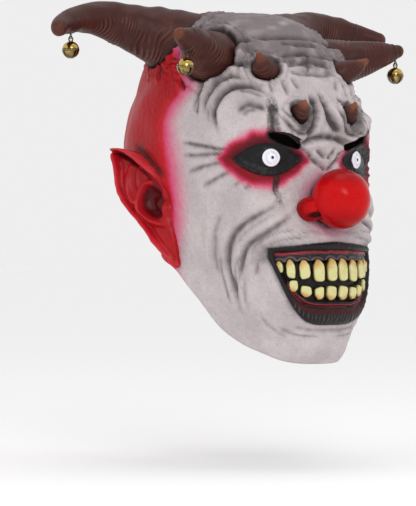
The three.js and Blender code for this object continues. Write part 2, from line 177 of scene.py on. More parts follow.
def spline(table: Array, row: Array) -> Array:
    """Smooth values of a table at fractional rows.

    Args:
        table: one value or one list of columns for each row.
        row: fractional row numbers.

    Returns:
        Interpolated values, with the columns last.
    """
    last = len(table) - 1
    row = np.clip(np.asarray(row, float), 0, last)
    index = np.minimum(np.floor(row).astype(int), last - 1)
    t = row - index
    if table.ndim > 1:
        t = t[..., None]
    p0, p1, p2, p3 = (table[np.clip(index + k, 0, last)] for k in (-1, 0, 1, 2))
    m1 = (p2 - p0) / 2
    m2 = (p3 - p1) / 2
    return (
        (2 * t**3 - 3 * t**2 + 1) * p1 + (t**3 - 2 * t**2 + t) * m1
        + (3 * t**2 - 2 * t**3) * p2 + (t**3 - t**2) * m2
    )


def curve_distance(across: Array, up: Array, points: Sequence) -> tuple[Array, Array, Array]:
    """Distance from a smooth line through points, the share along it and the side of it.

    Args:
        across: first coordinate of the places asked for.
        up: second coordinate.
        points: points of the line.

    Returns:
        Distances, shares from 0 to 1 at the nearest place, and 1 to the left of the line or -1.
    """
    steps_per_point = 8
    spans = len(points) - 1
    steps = steps_per_point * spans
    line = spline(np.array(points, float), np.linspace(0, spans, steps + 1))
    best = np.full(across.shape, np.inf)
    share = np.zeros(across.shape)
    side = np.ones(across.shape)
    for k in range(steps):
        start, run = line[k], line[k + 1] - line[k]
        right, over = across - start[0], up - start[1]
        t = np.clip((right * run[0] + over * run[1]) / max(run @ run, TINY), 0, 1)
        away = np.hypot(right - t * run[0], over - t * run[1])
        nearer = away < best
        best = np.where(nearer, away, best)
        share = np.where(nearer, (k + t) / steps, share)
        side = np.where(nearer, np.sign(run[0] * over - run[1] * right), side)
    return best, share, side


# Meshes


def grid_faces(rows: int, columns: int, wrap: bool, flip: bool = False) -> Array:
    """Quads of a grid of points that is stored row by row.

    Args:
        rows: number of rows.
        columns: number of points in each row.
        wrap: join the last column to the first.
        flip: turn the faces over.

    Returns:
        Four point numbers for each quad.
    """
    r = np.arange(rows - 1)[:, None]
    c = np.arange(columns if wrap else columns - 1)[None, :]
    n = (c + 1) % columns
    corners = [r * columns + c, r * columns + n, (r + 1) * columns + n, (r + 1) * columns + c]
    if flip:
        corners.reverse()
    return np.stack(corners, axis=-1).reshape(-1, 4)


def capped_faces(rows: int, columns: int, flip: bool = False) -> list[list[int]]:
    """Faces of a wrapped grid with both of its ends closed.

    Args:
        rows: number of rows.
        columns: number of points in each row.
        flip: turn the faces over.

    Returns:
        Point numbers of each face.
    """
    first = list(range(columns))
    last = [(rows - 1) * columns + corner for corner in first]
    if flip:
        last.reverse()
    return grid_faces(rows, columns, True, flip).tolist() + [first, last]


def border_loop(rows: int, columns: int) -> list[int]:
    """Point numbers round the edge of an open grid.

    Args:
        rows: number of rows.
        columns: number of points in each row.

    Returns:
        Point numbers in order.
    """
    loop = list(range(columns))
    loop += [r * columns + columns - 1 for r in range(1, rows)]
    loop += [(rows - 1) * columns + c for c in range(columns - 2, -1, -1)]
    return loop + [r * columns for r in range(rows - 2, 0, -1)]


def fan_faces(ring: Sequence[int], tip: int, flip: bool = False) -> list[list[int]]:
    """Triangles that close a ring of points at a tip."""
    pairs = zip(ring, list(ring[1:]) + [ring[0]])
    return [[b, a, tip] if flip else [a, b, tip] for a, b in pairs]


def circle(centre: Array, first: Array, second: Array, radius: float, count: int) -> Array:
    """Points of a circle in the plane of two directions."""
    turn = np.linspace(0, FULL_TURN, count, endpoint=False)[:, None]
    return centre + radius * (np.cos(turn) * first + np.sin(turn) * second)


def rings(first: Array, second: Array, sides: int) -> Array:
    """Directions round each point of a path, from its two cross directions."""
    turn = np.linspace(0, FULL_TURN, sides, endpoint=False)[None, :, None]
    return first[:, None, :] * np.cos(turn) + second[:, None, :] * np.sin(turn)


def thread(path: Array, radius: float, sides: int) -> Part:
    """Round thread or wire along a closed path.

    Args:
        path: points of the path, which joins its own start.
        radius: half thickness.
        sides: points round the thread.

    Returns:
        Points, faces and no marks.
    """
    along = unit(np.roll(path, -1, axis=0) - np.roll(path, 1, axis=0))
    outward = path - path.mean(axis=0)
    outward = unit(outward - along * np.sum(outward * along, axis=1)[:, None])
    points = path[:, None, :] + rings(outward, np.cross(along, outward), sides) * radius
    quads = grid_faces(len(path) + 1, sides, True) % (len(path) * sides)
    return points.reshape(-1, 3), quads.tolist(), {}


def join_parts(parts: Sequence[Part]) -> Part:
    """Put parts with the same marks into one.

    Args:
        parts: points, faces and marks of each.

    Returns:
        Points, faces and marks of them all.
    """
    faces, offset = [], 0
    for points, part_faces, _ in parts:
        faces += [[corner + offset for corner in face] for face in part_faces]
        offset += len(points)
    marks = {key: np.concatenate([part[2][key] for part in parts]) for key in parts[0][2]}
    return np.concatenate([part[0] for part in parts]), faces, marks


def mesh_object(name: str, points: Array, faces: Sequence, marks: Marks | None = None) -> Piece:
    """Make a smooth mesh object.

    Args:
        name: name of the piece.
        points: positions in millimetres.
        faces: point numbers of each face.
        marks: named values for each point, which the paint reads.

    Returns:
        The linked object.
    """
    mesh = bpy.data.meshes.new(name)
    mesh.from_pydata((np.asarray(points) * MM).tolist(), [], [list(map(int, f)) for f in faces])
    for key, values in (marks or {}).items():
        layer = mesh.attributes.new(key, "FLOAT", "POINT")
        layer.data.foreach_set("value", np.asarray(values, dtype=np.float32).ravel())
    mesh.polygons.foreach_set("use_smooth", np.ones(len(mesh.polygons), dtype=bool))
    mesh.update()
    piece = bpy.data.objects.new(name, mesh)
    bpy.context.scene.collection.objects.link(piece)
    return piece


def turn_out(piece: Piece) -> None:
    """Make every face of a closed piece look outwards.

    Args:
        piece: the piece.
    """
    shape = bmesh.new()
    shape.from_mesh(piece.data)
    bmesh.ops.recalc_face_normals(shape, faces=shape.faces)
    shape.to_mesh(piece.data)
    shape.free()


def dress(piece: Piece, material: Material, node: str) -> None:
    """Give a piece its finish and let it stand for a solid of the frame.

    Args:
        piece: the object.
        material: its finish.
        node: solid that it replaces.
    """
    piece.data.materials.append(material)
    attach(piece, BODY)
    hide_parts(node)
    LOG.info("%s stands for %s, %d faces", piece.name, node, len(piece.data.polygons))


def closed_piece(name: str, part: Part, material: Material, node: str) -> None:
    """Make a closed piece and dress it.

    Args:
        name: name of the piece.
        part: its points, faces and marks.
        material: its finish.
        node: solid that it replaces.
    """
    piece = mesh_object(name, *part)
    turn_out(piece)
    dress(piece, material, node)


# Finishes

MIX_SHARE = 0
MIX_VALUES = (2, 3)
MIX_COLOURS = (6, 7)
MIXED_VALUE = 0
MIXED_COLOUR = 2
BUMP_SHARE = 0.3


def linear(code: str) -> Colour:
    """Turn an sRGB hex colour into linear light.

    Args:
        code: colour such as "#c8141a".

    Returns:
        Linear red, green, blue and an alpha of one.
    """
    channels = [int(code[i:i + 2], 16) / 255 for i in (1, 3, 5)]
    light = [c / 12.92 if c <= 0.04045 else ((c + 0.055) / 1.055) ** 2.4 for c in channels]
    return (light[0], light[1], light[2], 1.0)


def add_node(tree: Tree, kind: str, settings: dict | None = None,
             inputs: dict | None = None) -> bpy.types.Node:
    """Add a node with its settings, and set or link its inputs.

    Args:
        tree: node tree of a material or world.
        kind: type name of the node.
        settings: properties of the node.
        inputs: value or source socket for each input, by name or number.

    Returns:
        The new node.
    """
    node = tree.nodes.new(kind)
    for name, value in (settings or {}).items():
        setattr(node, name, value)
    for socket, value in (inputs or {}).items():
        if isinstance(value, Socket):
            tree.links.new(value, node.inputs[socket])
        else:
            node.inputs[socket].default_value = value
    return node


def new_finish(name: str) -> tuple[Material, Tree]:
    """Make an empty material, and give it with its nodes.

    Args:
        name: name of the finish.

    Returns:
        The material and its nodes.
    """
    material = bpy.data.materials.new(name)
    material.use_nodes = True
    material.node_tree.nodes.clear()
    return material, material.node_tree


@dataclass(frozen=True)
class PaintCoat:
    """One sprayed or brushed coat: colour goes on where a mark rises from start to end."""

    mark: str
    start: float
    end: float
    colour: str
    cover: float = 1.0
    ragged: float = 0.0
    ragged_mm: float = 6.0


@dataclass(frozen=True)
class GlossCoat:
    """Change of roughness where a mark rises from start to end."""

    mark: str
    start: float
    end: float
    roughness: float


@dataclass(frozen=True)
class PaintedLatex:
    """Slush-cast latex with rubber paint: a soft low gloss, cloudy colour and fine skin grain."""

    name: str
    base: str
    cloud: str
    roughness: float
    coats: tuple[PaintCoat, ...] = ()
    glosses: tuple[GlossCoat, ...] = ()
    cloud_mm: float = 14.0
    speckle: str = "#8d8083"
    speckle_mm: float = 2.2
    speckle_cover: float = 0.25
    speckle_range: tuple[float, float] = (0.52, 0.72)
    grain_mm: float = 1.3
    grain_depth: float = 0.25
    wrinkle_mm: float = 5.0
    wrinkle_depth: float = 0.35
    detail: float = 3.0
    detail_share: float = 0.6
    coat: float = 0.0
    coat_roughness: float = 0.12
    ior: float = 1.52
    specular: float = 0.3

    def material(self) -> Material:
        """Build the paint.

        Returns:
            The finished material.
        """
        material, tree = new_finish(self.name)
        patterns = self.patterns(tree)
        first, second = MIX_COLOURS
        colour = add_node(tree, "ShaderNodeMix", {"data_type": "RGBA"}, {
            MIX_SHARE: patterns[self.cloud_mm], first: linear(self.base), second: linear(self.cloud),
        }).outputs[MIXED_COLOUR]
        spots = add_node(tree, "ShaderNodeMapRange", None, {
            "Value": patterns[self.speckle_mm], "From Min": self.speckle_range[0],
            "From Max": self.speckle_range[1], "To Max": self.speckle_cover}).outputs[0]
        colour = add_node(tree, "ShaderNodeMix", {"data_type": "RGBA"}, {
            MIX_SHARE: spots, first: colour, second: linear(self.speckle)}).outputs[MIXED_COLOUR]
        for coat in self.coats:
            colour = self.spray(tree, patterns, colour, coat)
        shine: float | Socket = self.roughness
        for gloss in self.glosses:
            cover = self.cover(tree, gloss.mark, gloss.start, gloss.end)
            shine = add_node(tree, "ShaderNodeMix", None, {
                MIX_SHARE: cover, MIX_VALUES[0]: shine, MIX_VALUES[1]: gloss.roughness,
            }).outputs[MIXED_VALUE]
        relief = {}
        for size_mm, depth in ((self.wrinkle_mm, self.wrinkle_depth), (self.grain_mm, self.grain_depth)):
            bump = add_node(tree, "ShaderNodeBump", None, {
                "Height": patterns[size_mm], "Strength": depth, "Distance": size_mm * MM * BUMP_SHARE,
                **relief})
            relief = {"Normal": bump.outputs[0]}
        shader = add_node(tree, "ShaderNodeBsdfPrincipled", None, {
            "Base Color": colour, "Roughness": shine, "IOR": self.ior, "Specular IOR Level": self.specular,
            "Coat Weight": self.coat, "Coat Roughness": self.coat_roughness, **relief})
        add_node(tree, "ShaderNodeOutputMaterial", None, {"Surface": shader.outputs[0]})
        return material

    def patterns(self, tree: Tree) -> dict[float, Socket]:
        """Cloudy patterns of the paint, by the size of their features in millimetres.

        Args:
            tree: the material's nodes.

        Returns:
            Socket of each size.
        """
        place = add_node(tree, "ShaderNodeTexCoord").outputs["Object"]
        sizes = {self.cloud_mm, self.speckle_mm, self.wrinkle_mm, self.grain_mm}
        sizes.update(coat.ragged_mm for coat in self.coats if coat.ragged)
        found = {}
        for size_mm in sorted(sizes):
            found[size_mm] = add_node(tree, "ShaderNodeTexNoise", None, {
                "Vector": place, "Scale": 1 / (size_mm * MM), "Detail": self.detail,
                "Roughness": self.detail_share}).outputs[0]
        return found

    def cover(self, tree: Tree, mark: str, start: float, end: float,
              shift: Socket | None = None, strongest: float = 1.0) -> Socket:
        """Cover of a coat, from its mark and an optional uneven edge.

        Args:
            tree: the material's nodes.
            mark: named value on the mesh.
            start: value where the coat begins.
            end: value where it covers.
            shift: uneven amount added to the mark.
            strongest: strongest cover.

        Returns:
            Socket with the cover from 0 to its strongest.
        """
        value = add_node(tree, "ShaderNodeAttribute", {"attribute_name": mark}).outputs["Fac"]
        if shift is not None:
            value = add_node(tree, "ShaderNodeMath", {"operation": "ADD"}, {0: value, 1: shift}).outputs[0]
        return add_node(tree, "ShaderNodeMapRange", {"interpolation_type": "SMOOTHSTEP"}, {
            "Value": value, "From Min": start, "From Max": end, "To Max": strongest}).outputs[0]

    def spray(self, tree: Tree, patterns: dict[float, Socket], under: Socket, coat: PaintCoat) -> Socket:
        """Lay one coat over the colour below it.

        Args:
            tree: the material's nodes.
            patterns: cloudy patterns by the size of their features.
            under: colour below.
            coat: the coat.

        Returns:
            Socket with the new colour.
        """
        shift = None
        if coat.ragged:
            shift = add_node(tree, "ShaderNodeMath", {"operation": "MULTIPLY_ADD"}, {
                0: patterns[coat.ragged_mm], 1: 2 * coat.ragged, 2: -coat.ragged}).outputs[0]
        cover = self.cover(tree, coat.mark, coat.start, coat.end, shift, coat.cover)
        return add_node(tree, "ShaderNodeMix", {"data_type": "RGBA"}, {
            MIX_SHARE: cover, MIX_COLOURS[0]: under, MIX_COLOURS[1]: linear(coat.colour),
        }).outputs[MIXED_COLOUR]


# Slush-cast latex skin: chalky grey-white rubber paint, with airbrushed dark paint and painted shade in the
# creases, furrows, seams and hollows
SKIN_LATEX = PaintedLatex(
    "airbrushed_latex_skin", "#d2c7c8", "#b1a6a8", 0.55,
    coats=(
        PaintCoat("crown", 0.0, 1.0, "#6c6263", 0.92, 0.25, 8.0),
        PaintCoat("mottle", 0.0, 1.4, "#8a7f82", 0.3),
        PaintCoat("rouge", 0.0, 1.0, "#cf6f96", 0.6, 0.2, 8.0),
        PaintCoat("hood", -24.0, 3.0, "#cf3f72", 0.95, 3.5, 8.0),
        PaintCoat("hood", -3.0, 7.0, "#ba0a17", 1.0, 2.5, 5.0),
        PaintCoat("hood", 4.0, 18.0, "#8a0c15", 0.55, 7.0, 8.0),
        PaintCoat("rear", 0.0, 1.0, "#a5393f", 0.9, 0.25, 12.0),
        # painted shade in the folds, furrows, seams, ear bowls and beside the mouth, with airbrushed dark
        # paint
        PaintCoat("shade_and_grime", 0.04, 1.0, "#2e2725", 0.9, 0.06, 3.0),
        PaintCoat("make_up", -6.0, 1.0, "#cf2f62", 0.95, 0.8, 2.0),
        PaintCoat("make_up", -2.5, 3.5, "#84101c", 1.0, 0.9, 3.0),
        PaintCoat("eye_shade", 0.1, 1.0, "#4a1420", 0.85, 0.15, 3.0),
        PaintCoat("eye_black", -0.6, 0.8, "#1b191b", 1.0, 0.5, 3.0),
        PaintCoat("iris", -0.3, 0.25, "#eceaf3"),
        PaintCoat("iris_ring", 0.0, 1.0, "#b9bac8", 0.6),
        PaintCoat("pupil", -0.2, 0.2, "#0c0b0c"),
        PaintCoat("stripe", 0.1, 1.0, "#231f1e", 0.92, 0.3, 2.0),
        PaintCoat("lip_black", -1.2, 1.0, "#221e20", 1.0, 0.6, 3.0),
        PaintCoat("lip_red", 0.2, 1.0, "#4c1215", 0.75, 0.3, 3.0),
        # painted highlight: grey streaks on the crests of the lower lip's folds
        PaintCoat("lip_highlight_streak", 0.35, 1.0, "#6d6668", 0.45, 0.2, 2.0),
        # the lining is painted nearly black as painted shade, so what shows through the slits is dark
        PaintCoat("lining", 0.02, 0.05, "#2b2422"),
    ),
    glosses=(
        GlossCoat("hood", -2.0, 4.0, 0.45),
        GlossCoat("eye_black", -0.5, 0.8, 0.25),
        GlossCoat("lip_black", -0.5, 0.8, 0.34),
    ),
    cloud_mm=11.0, speckle_mm=2.0, speckle_cover=0.36, wrinkle_mm=4.5, wrinkle_depth=0.7, grain_depth=0.5,
    specular=0.14,
)
# Red rubber paint on latex, laid on thicker than the skin, so it shines a little more; a painted highlight on
# the raised folds and painted shade deep in the hollows
EAR_LATEX = PaintedLatex(
    "red_painted_latex", "#b0121c", "#960c15", 0.36,
    coats=(
        PaintCoat("ridge", 0.4, 1.0, "#cf3340", 0.6, 0.2, 4.0),
        PaintCoat("shade_and_grime", 0.05, 1.0, "#42060c", 0.9, 0.12, 4.0),
    ),
    speckle="#8d0c16", wrinkle_depth=0.25, grain_depth=0.15, specular=0.2,
)
# Brown rubber paint, lighter on the high folds as paint rubbed back and as a painted highlight, with painted
# shade in the valleys and at the root, and ochre on the tips
HORN_LATEX = PaintedLatex(
    "brown_painted_latex", "#4a2520", "#371a16", 0.42,
    coats=(
        PaintCoat("ridge", 0.35, 1.0, "#74463a", 0.6, 0.25, 4.0),
        PaintCoat("tip", 0.1, 1.0, "#98593b", 0.85, 0.2, 4.0),
        PaintCoat("shade_and_grime", 0.1, 1.0, "#1c0e0c", 0.95, 0.12, 3.0),
    ),
    cloud_mm=18.0, speckle="#33201c", speckle_cover=0.4, wrinkle_depth=0.3, grain_depth=0.3, specular=0.18,
)
# Thick gloss red on a smooth ball, with faint painted shade below, over the top and towards the face, and in
# the nostrils and wing creases
NOSE_LATEX = PaintedLatex(
    "gloss_red_latex", "#c4090e", "#b2070b", 0.24,
    coats=(
        PaintCoat("ridge", 0.0, 1.0, "#84050b", 0.8, 0.2, 8.0),
        PaintCoat("shade_and_grime", 0.1, 1.0, "#2a0507", 0.95),
    ),
    cloud_mm=22.0, speckle="#d8474a", speckle_mm=1.2, speckle_cover=0.18, wrinkle_depth=0.08,
    grain_depth=0.06, coat=0.1, specular=0.05,
)
# Cream-yellow rubber paint with ochre wiped into the roots and painted shade round each tooth's edges; black
# gums with red swellings and a painted highlight on the rim round each tooth
TOOTH_LATEX = PaintedLatex(
    "painted_latex_teeth", "#dad59f", "#c9c17c", 0.36,
    coats=(
        PaintCoat("root", 0.15, 1.0, "#bd8a42", 0.85, 0.3, 4.0),
        PaintCoat("shade_and_grime", 0.1, 1.0, "#2a1f14", 0.95, 0.1, 2.0),
        PaintCoat("gum", 0.4, 0.6, "#191517"),
        PaintCoat("gum_rim", 0.25, 1.0, "#5e4d55", 0.75, 0.15, 3.0),
        PaintCoat("gum_line", 0.2, 0.9, "#7c1c26", 1.0, 0.3, 2.5),
    ),
    cloud_mm=7.0, speckle="#b9a552", speckle_cover=0.3, wrinkle_mm=4.0, wrinkle_depth=0.2, grain_depth=0.1,
    coat=0.1, specular=0.3,
)


@dataclass(frozen=True)
class PolishedBrass:
    """Pressed, polished and lacquered brass: mirror-bright yellow metal with a few dull random stains, and
    painted shade from a mark on the mesh.
    """

    name: str = "polished_brass"
    bright: str = "#c9a850"
    tarnish_and_shade: str = "#33260d"
    tarnish_and_shade_range: tuple[float, float] = (0.45, 0.85)
    tarnish_and_shade_cover: float = 0.9
    roughness: float = 0.1
    roughness_spread: tuple[float, float] = (0.6, 1.8)
    stain_mm: float = 4.0
    stain_detail: float = 4.0
    stain: float = 0.5
    lacquer: float = 0.7
    lacquer_roughness: float = 0.05

    def material(self) -> Material:
        """Build the metal.

        Returns:
            The finished material.
        """
        material, tree = new_finish(self.name)
        place = add_node(tree, "ShaderNodeTexCoord").outputs["Object"]
        stain = add_node(tree, "ShaderNodeTexNoise", None, {
            "Vector": place, "Scale": 1 / (self.stain_mm * MM), "Detail": self.stain_detail}).outputs[0]
        # the mesh mark adds painted shade to the random stains
        worn = add_node(tree, "ShaderNodeAttribute", {"attribute_name": "tarnish_and_shade"}).outputs["Fac"]
        dirt_and_shade = add_node(tree, "ShaderNodeMath", {"operation": "MULTIPLY_ADD"}, {
            0: worn, 1: self.stain, 2: stain}).outputs[0]
        cover = add_node(tree, "ShaderNodeMapRange", None, {
            "Value": dirt_and_shade, "From Min": self.tarnish_and_shade_range[0], "From Max": self.tarnish_and_shade_range[1],
            "To Max": self.tarnish_and_shade_cover}).outputs[0]
        colour = add_node(tree, "ShaderNodeMix", {"data_type": "RGBA"}, {
            MIX_SHARE: cover, MIX_COLOURS[0]: linear(self.bright), MIX_COLOURS[1]: linear(self.tarnish_and_shade),
        }).outputs[MIXED_COLOUR]
        smooth, dull = (self.roughness * share for share in self.roughness_spread)
        shine = add_node(tree, "ShaderNodeMapRange", None, {
            "Value": stain, "To Min": smooth, "To Max": dull}).outputs[0]
        shader = add_node(tree, "ShaderNodeBsdfPrincipled", None, {
            "Base Color": colour, "Metallic": 1.0, "Roughness": shine, "Coat Weight": self.lacquer,
            "Coat Roughness": self.lacquer_roughness})
        add_node(tree, "ShaderNodeOutputMaterial", None, {"Surface": shader.outputs[0]})
        return material


@dataclass(frozen=True)
class WaxedThread:
    """Twisted black thread: dull, with a faint sheen along its strands."""

    name: str = "waxed_black_thread"
    colour: str = "#161415"
    worn: str = "#3a3534"
    roughness: float = 0.7
    strand_mm: float = 0.8
    strand_depth: float = 0.6
    bands_per_scale: float = 6.0
    unevenness: float = 2.0
    sheen: float = 0.2

    def material(self) -> Material:
        """Build the thread.

        Returns:
            The finished material.
        """
        material, tree = new_finish(self.name)
        place = add_node(tree, "ShaderNodeTexCoord").outputs["Object"]
        strands = add_node(tree, "ShaderNodeTexWave", {"bands_direction": "DIAGONAL"}, {
            "Vector": place, "Scale": 1 / (self.strand_mm * MM) / self.bands_per_scale,
            "Distortion": self.unevenness}).outputs["Fac"]
        colour = add_node(tree, "ShaderNodeMix", {"data_type": "RGBA"}, {
            MIX_SHARE: strands, MIX_COLOURS[0]: linear(self.colour), MIX_COLOURS[1]: linear(self.worn),
        }).outputs[MIXED_COLOUR]
        bump = add_node(tree, "ShaderNodeBump", None, {
            "Height": strands, "Strength": self.strand_depth, "Distance": self.strand_mm * MM * BUMP_SHARE})
        shader = add_node(tree, "ShaderNodeBsdfPrincipled", None, {
            "Base Color": colour, "Roughness": self.roughness, "Sheen Weight": self.sheen,
            "Normal": bump.outputs[0]})
        add_node(tree, "ShaderNodeOutputMaterial", None, {"Surface": shader.outputs[0]})
        return material


# Form of the head, the same tables as the solids


@dataclass(frozen=True)
class HornShape:
    """Path and girth of a horn or spike on the left; each station is out, ahead, up and radius."""

    stations: tuple[tuple[float, float, float, float], ...]
    lift_right: float = 0.0
    lift_left: float = 0.0
    probes: int = 40

    def along(self, side: Side, count: int) -> tuple[Array, Array]:
        """Points of the path and the radius at each.

        Args:
            side: which side of the head.
            count: number of points.

        Returns:
            Path points and radii.
        """
        share = np.linspace(0, 1, count)
        values = spline(np.array(self.stations), share * (len(self.stations) - 1))
        out, ahead, up, radius = np.moveaxis(values, -1, 0)
        lift = self.lift_right if side is Side.RIGHT else self.lift_left
        return np.stack([side.value * out, -ahead, up + lift * share], axis=1), radius

    def distance(self, points: Array, side: Side) -> Array:
        """Distance of points from the horn's surface, negative inside.

        Args:
            points: positions.
            side: side of the head.

        Returns:
            One distance for each point.
        """
        path, radius = self.along(side, self.probes)
        nearest = np.full(points.shape[:-1], np.inf)
        for centre, girth in zip(path, radius):
            nearest = np.minimum(nearest, np.linalg.norm(points - centre, axis=-1) - girth)
        return nearest


BACK_HORN = HornShape((
    (34, 0, -29, 30), (60, -14, -19, 26), (86, -24, -11, 19.5), (112, -28, -5, 15),
    (138, -25, -6, 11.2), (158, -18, -11.5, 9), (171, -8, -16, 6.8),
), 0.0, 7.0)
FRONT_HORN = HornShape((
    (44, 38, -42, 24), (62, 51, -39, 22), (80, 63, -34, 16.5), (99, 73, -29, 11.5), (115, 79, -24.5, 5.6),
), 0.0, -2.5)
BACK_TIE = {Side.RIGHT: 0.784, Side.LEFT: 0.784}
FRONT_TIE = {Side.RIGHT: 0.835, Side.LEFT: 0.93}
CROWN_SPIKE = HornShape((
    (30, 84, -56, 11.5), (40, 93, -50, 10.2), (50, 101, -44.5, 6.6), (56.5, 105.5, -39.5, 2.4),
))
BROW_SPIKE = HornShape((
    (25, 108, -92, 10), (25.5, 117, -86.5, 8.8), (26, 123.5, -81, 5.6), (26.5, 126.5, -76.5, 1.8),
))


@dataclass(frozen=True)
class Form:
    """Soft bump or hollow of the face, mirrored: place on the face, spread and height."""

    out: float
    z: float
    across: float
    along: float
    push: float

    def at(self, out: Array, z: Array) -> Array:
        """Height at a place on the face."""
        return self.push * np.exp(-((out - self.out) / self.across) ** 2 - ((z - self.z) / self.along) ** 2)


@dataclass(frozen=True)
class Arch:
    """Opening with blunt corners, a nearly level top edge and a deep bow below it."""

    half: float
    corner: float
    end: float
    top: float
    drop: float
    bow: float
    power: float
    top_power: float
    face_ahead: float = 40.0

    def upper(self, out: Array) -> Array:
        """Height of the top edge at a place across."""
        share = np.minimum(np.abs(out) / self.half, 1)
        return self.corner + self.end + (self.top - self.end) * (1 - share**self.top_power)

    def lower(self, out: Array) -> Array:
        """Height of the bottom edge at a place across."""
        share = np.minimum(np.abs(out) / self.half, 1)
        return self.corner - self.end - (self.drop - self.end) * (1 - share**self.bow) ** self.power

    def inside(self, points: Array) -> Array:
        """Rough distance inside the edge, negative outside.

        Args:
            points: positions.

        Returns:
            One distance for each point.
        """
        out, ahead, z = points[..., 0], -points[..., 1], points[..., 2]
        level = np.minimum(self.upper(out) - z, z - self.lower(out))
        return np.where(ahead > self.face_ahead, np.minimum(level, self.half - np.abs(out)), FAR_OUTSIDE)


@dataclass(frozen=True)
class HeadForm:
    """Hood and face as sections up the head, with soft forms pushed out of the face."""

    axis_ahead: float = 10.0
    face_ease: Ramp = Ramp(0.0, 0.35)
    least: float = 1e-3
    fine_rows: int = 600
    search_rounds: int = 12
    search_reach: float = 100.0
    search_least: float = 30.0
    slope_step: float = 0.01

    @property
    def sections(self) -> Array:
        """Columns: height, half width, reach ahead, reach behind, squareness of face and nape.

        Returns:
            One row for each section.
        """
        return np.array((
            (2.4, 0, 10, -10, 2, 2), (1, 27, 41, 22, 2, 2), (-4, 44, 60, 44, 2, 2), (-15, 58, 77, 64, 2, 2),
            (-33, 68, 92, 79, 2.1, 2), (-54, 75, 106, 87, 2.3, 2), (-80, 83, 118, 97, 2.6, 2),
            (-106, 87, 119, 103, 3, 2), (-133, 85, 118, 96, 3, 1.9), (-160, 81, 118, 80, 3, 1.75),
            (-186, 77, 131, 62, 2.6, 1.55), (-212, 74, 139, 50, 2.4, 1.5), (-240, 68, 136, 46, 2.45, 1.5),
            (-265, 59, 124, 42, 2.5, 1.5), (-284, 48, 114, 38, 2.7, 1.5), (-302, 40, 96, 34, 2.5, 1.5),
        ), float)

    @property
    def forms(self) -> tuple[Form, ...]:
        """Brow, sockets, eyeballs, bridge, cheeks, folds, jowls and chin.

        Returns:
            The forms.
        """
        return (
            Form(27, -91, 19, 9, 4.5), Form(43, -119, 22, 15, -7.5), Form(43, -120, 13, 9, 4.5),
            Form(0, -128, 11, 18, 3), Form(55, -160, 20, 18, 5), Form(64, -207, 7, 30, -5),
            Form(74, -214, 8, 24, 3), Form(0, -261, 32, 9, -3.5), Form(0, -277, 28, 11, 4),
        )

    @property
    def top(self) -> Array:
        """Topmost point of the skin."""
        return np.array([0.0, -self.axis_ahead, self.sections[0, 0]])

    def surface(self, row: Array, angle: Array) -> Array:
        """Points of the outer skin.

        Args:
            row: fractional section numbers.
            angle: turn from straight ahead towards the left.

        Returns:
            Positions with three columns.
        """
        z, half, ahead, behind, face, nape = np.moveaxis(spline(self.sections, row), -1, 0)
        sine, cosine = np.sin(angle), np.cos(angle)
        front = cosine >= 0
        half = np.maximum(half, self.least)
        reach = np.where(front, ahead - self.axis_ahead, behind + self.axis_ahead)
        reach = np.maximum(reach, self.least)
        power = np.where(front, face, nape)
        radius = (np.abs(sine / half) ** power + np.abs(cosine / reach) ** power) ** (-1 / power)
        push = sum(form.at(np.abs(radius * sine), z) for form in self.forms)
        radius = radius + push * self.face_ease.at(cosine)
        z = np.broadcast_to(z, radius.shape)
        return np.stack([radius * sine, -(self.axis_ahead + radius * cosine), z], axis=-1)

    def row_at(self, z: Array) -> Array:
        """Section number at a height.

        Args:
            z: height.

        Returns:
            Fractional section numbers.
        """
        rows = np.linspace(0, len(self.sections) - 1, self.fine_rows)
        heights = spline(self.sections[:, 0], rows)
        return np.interp(-np.asarray(z, float), -heights, rows)

    def on_face(self, out: Array, z: Array, lift: Array) -> Array:
        """Points over the face, found by their place across and up.

        Args:
            out: distance from the middle, signed.
            z: height.
            lift: distance above the skin.

        Returns:
            Positions with three columns.
        """
        out, z, lift = np.broadcast_arrays(*(np.asarray(v, float) for v in (out, z, lift)))
        angle = np.arctan2(out, self.search_reach)
        row = self.row_at(z)
        for _ in range(self.search_rounds):
            found = self.surface(row, angle)
            reach = np.maximum(-found[..., 1] - self.axis_ahead, self.search_least)
            angle = angle + (out - found[..., 0]) / reach
        slope = self.surface(row, angle + self.slope_step) - self.surface(row, angle - self.slope_step)
        normal = unit(np.stack([-slope[..., 1], slope[..., 0], np.zeros_like(out)], axis=-1))
        normal *= -np.sign(normal[..., 1])[..., None]
        return self.surface(row, angle) + normal * lift[..., None]

    def depth_below(self, points: Array) -> Array:
        """Distance of points inside the skin, measured level from the axis; negative outside.

        Args:
            points: positions.

        Returns:
            One distance for each point.
        """
        angle = np.arctan2(points[:, 0], -points[:, 1] - self.axis_ahead)
        skin = self.surface(self.row_at(points[:, 2]), angle)
        reach = np.hypot(skin[:, 0], skin[:, 1] + self.axis_ahead)
        depth = reach - np.hypot(points[:, 0], points[:, 1] + self.axis_ahead)
        over_top = points[:, 2] > self.sections[0, 0]
        return np.where(over_top, -np.abs(points[:, 2]) - np.abs(depth), depth)


HEAD = HeadForm()
MOUTH = Arch(half=50.5, corner=-197, end=1.5, top=3.8, drop=45, bow=5, power=1, top_power=2)
LIPS = Arch(half=53, corner=-197, end=4, top=9, drop=58, bow=4, power=1.2, top_power=1.4)


# Relief and paint of the skin


@dataclass(frozen=True)
class Crease:
    """Fold line of the skin: degrees from straight ahead and height at each point, left if not mirrored."""

    points: Line
    width: float
    depth: float
    shade: float
    mirrored: bool = True


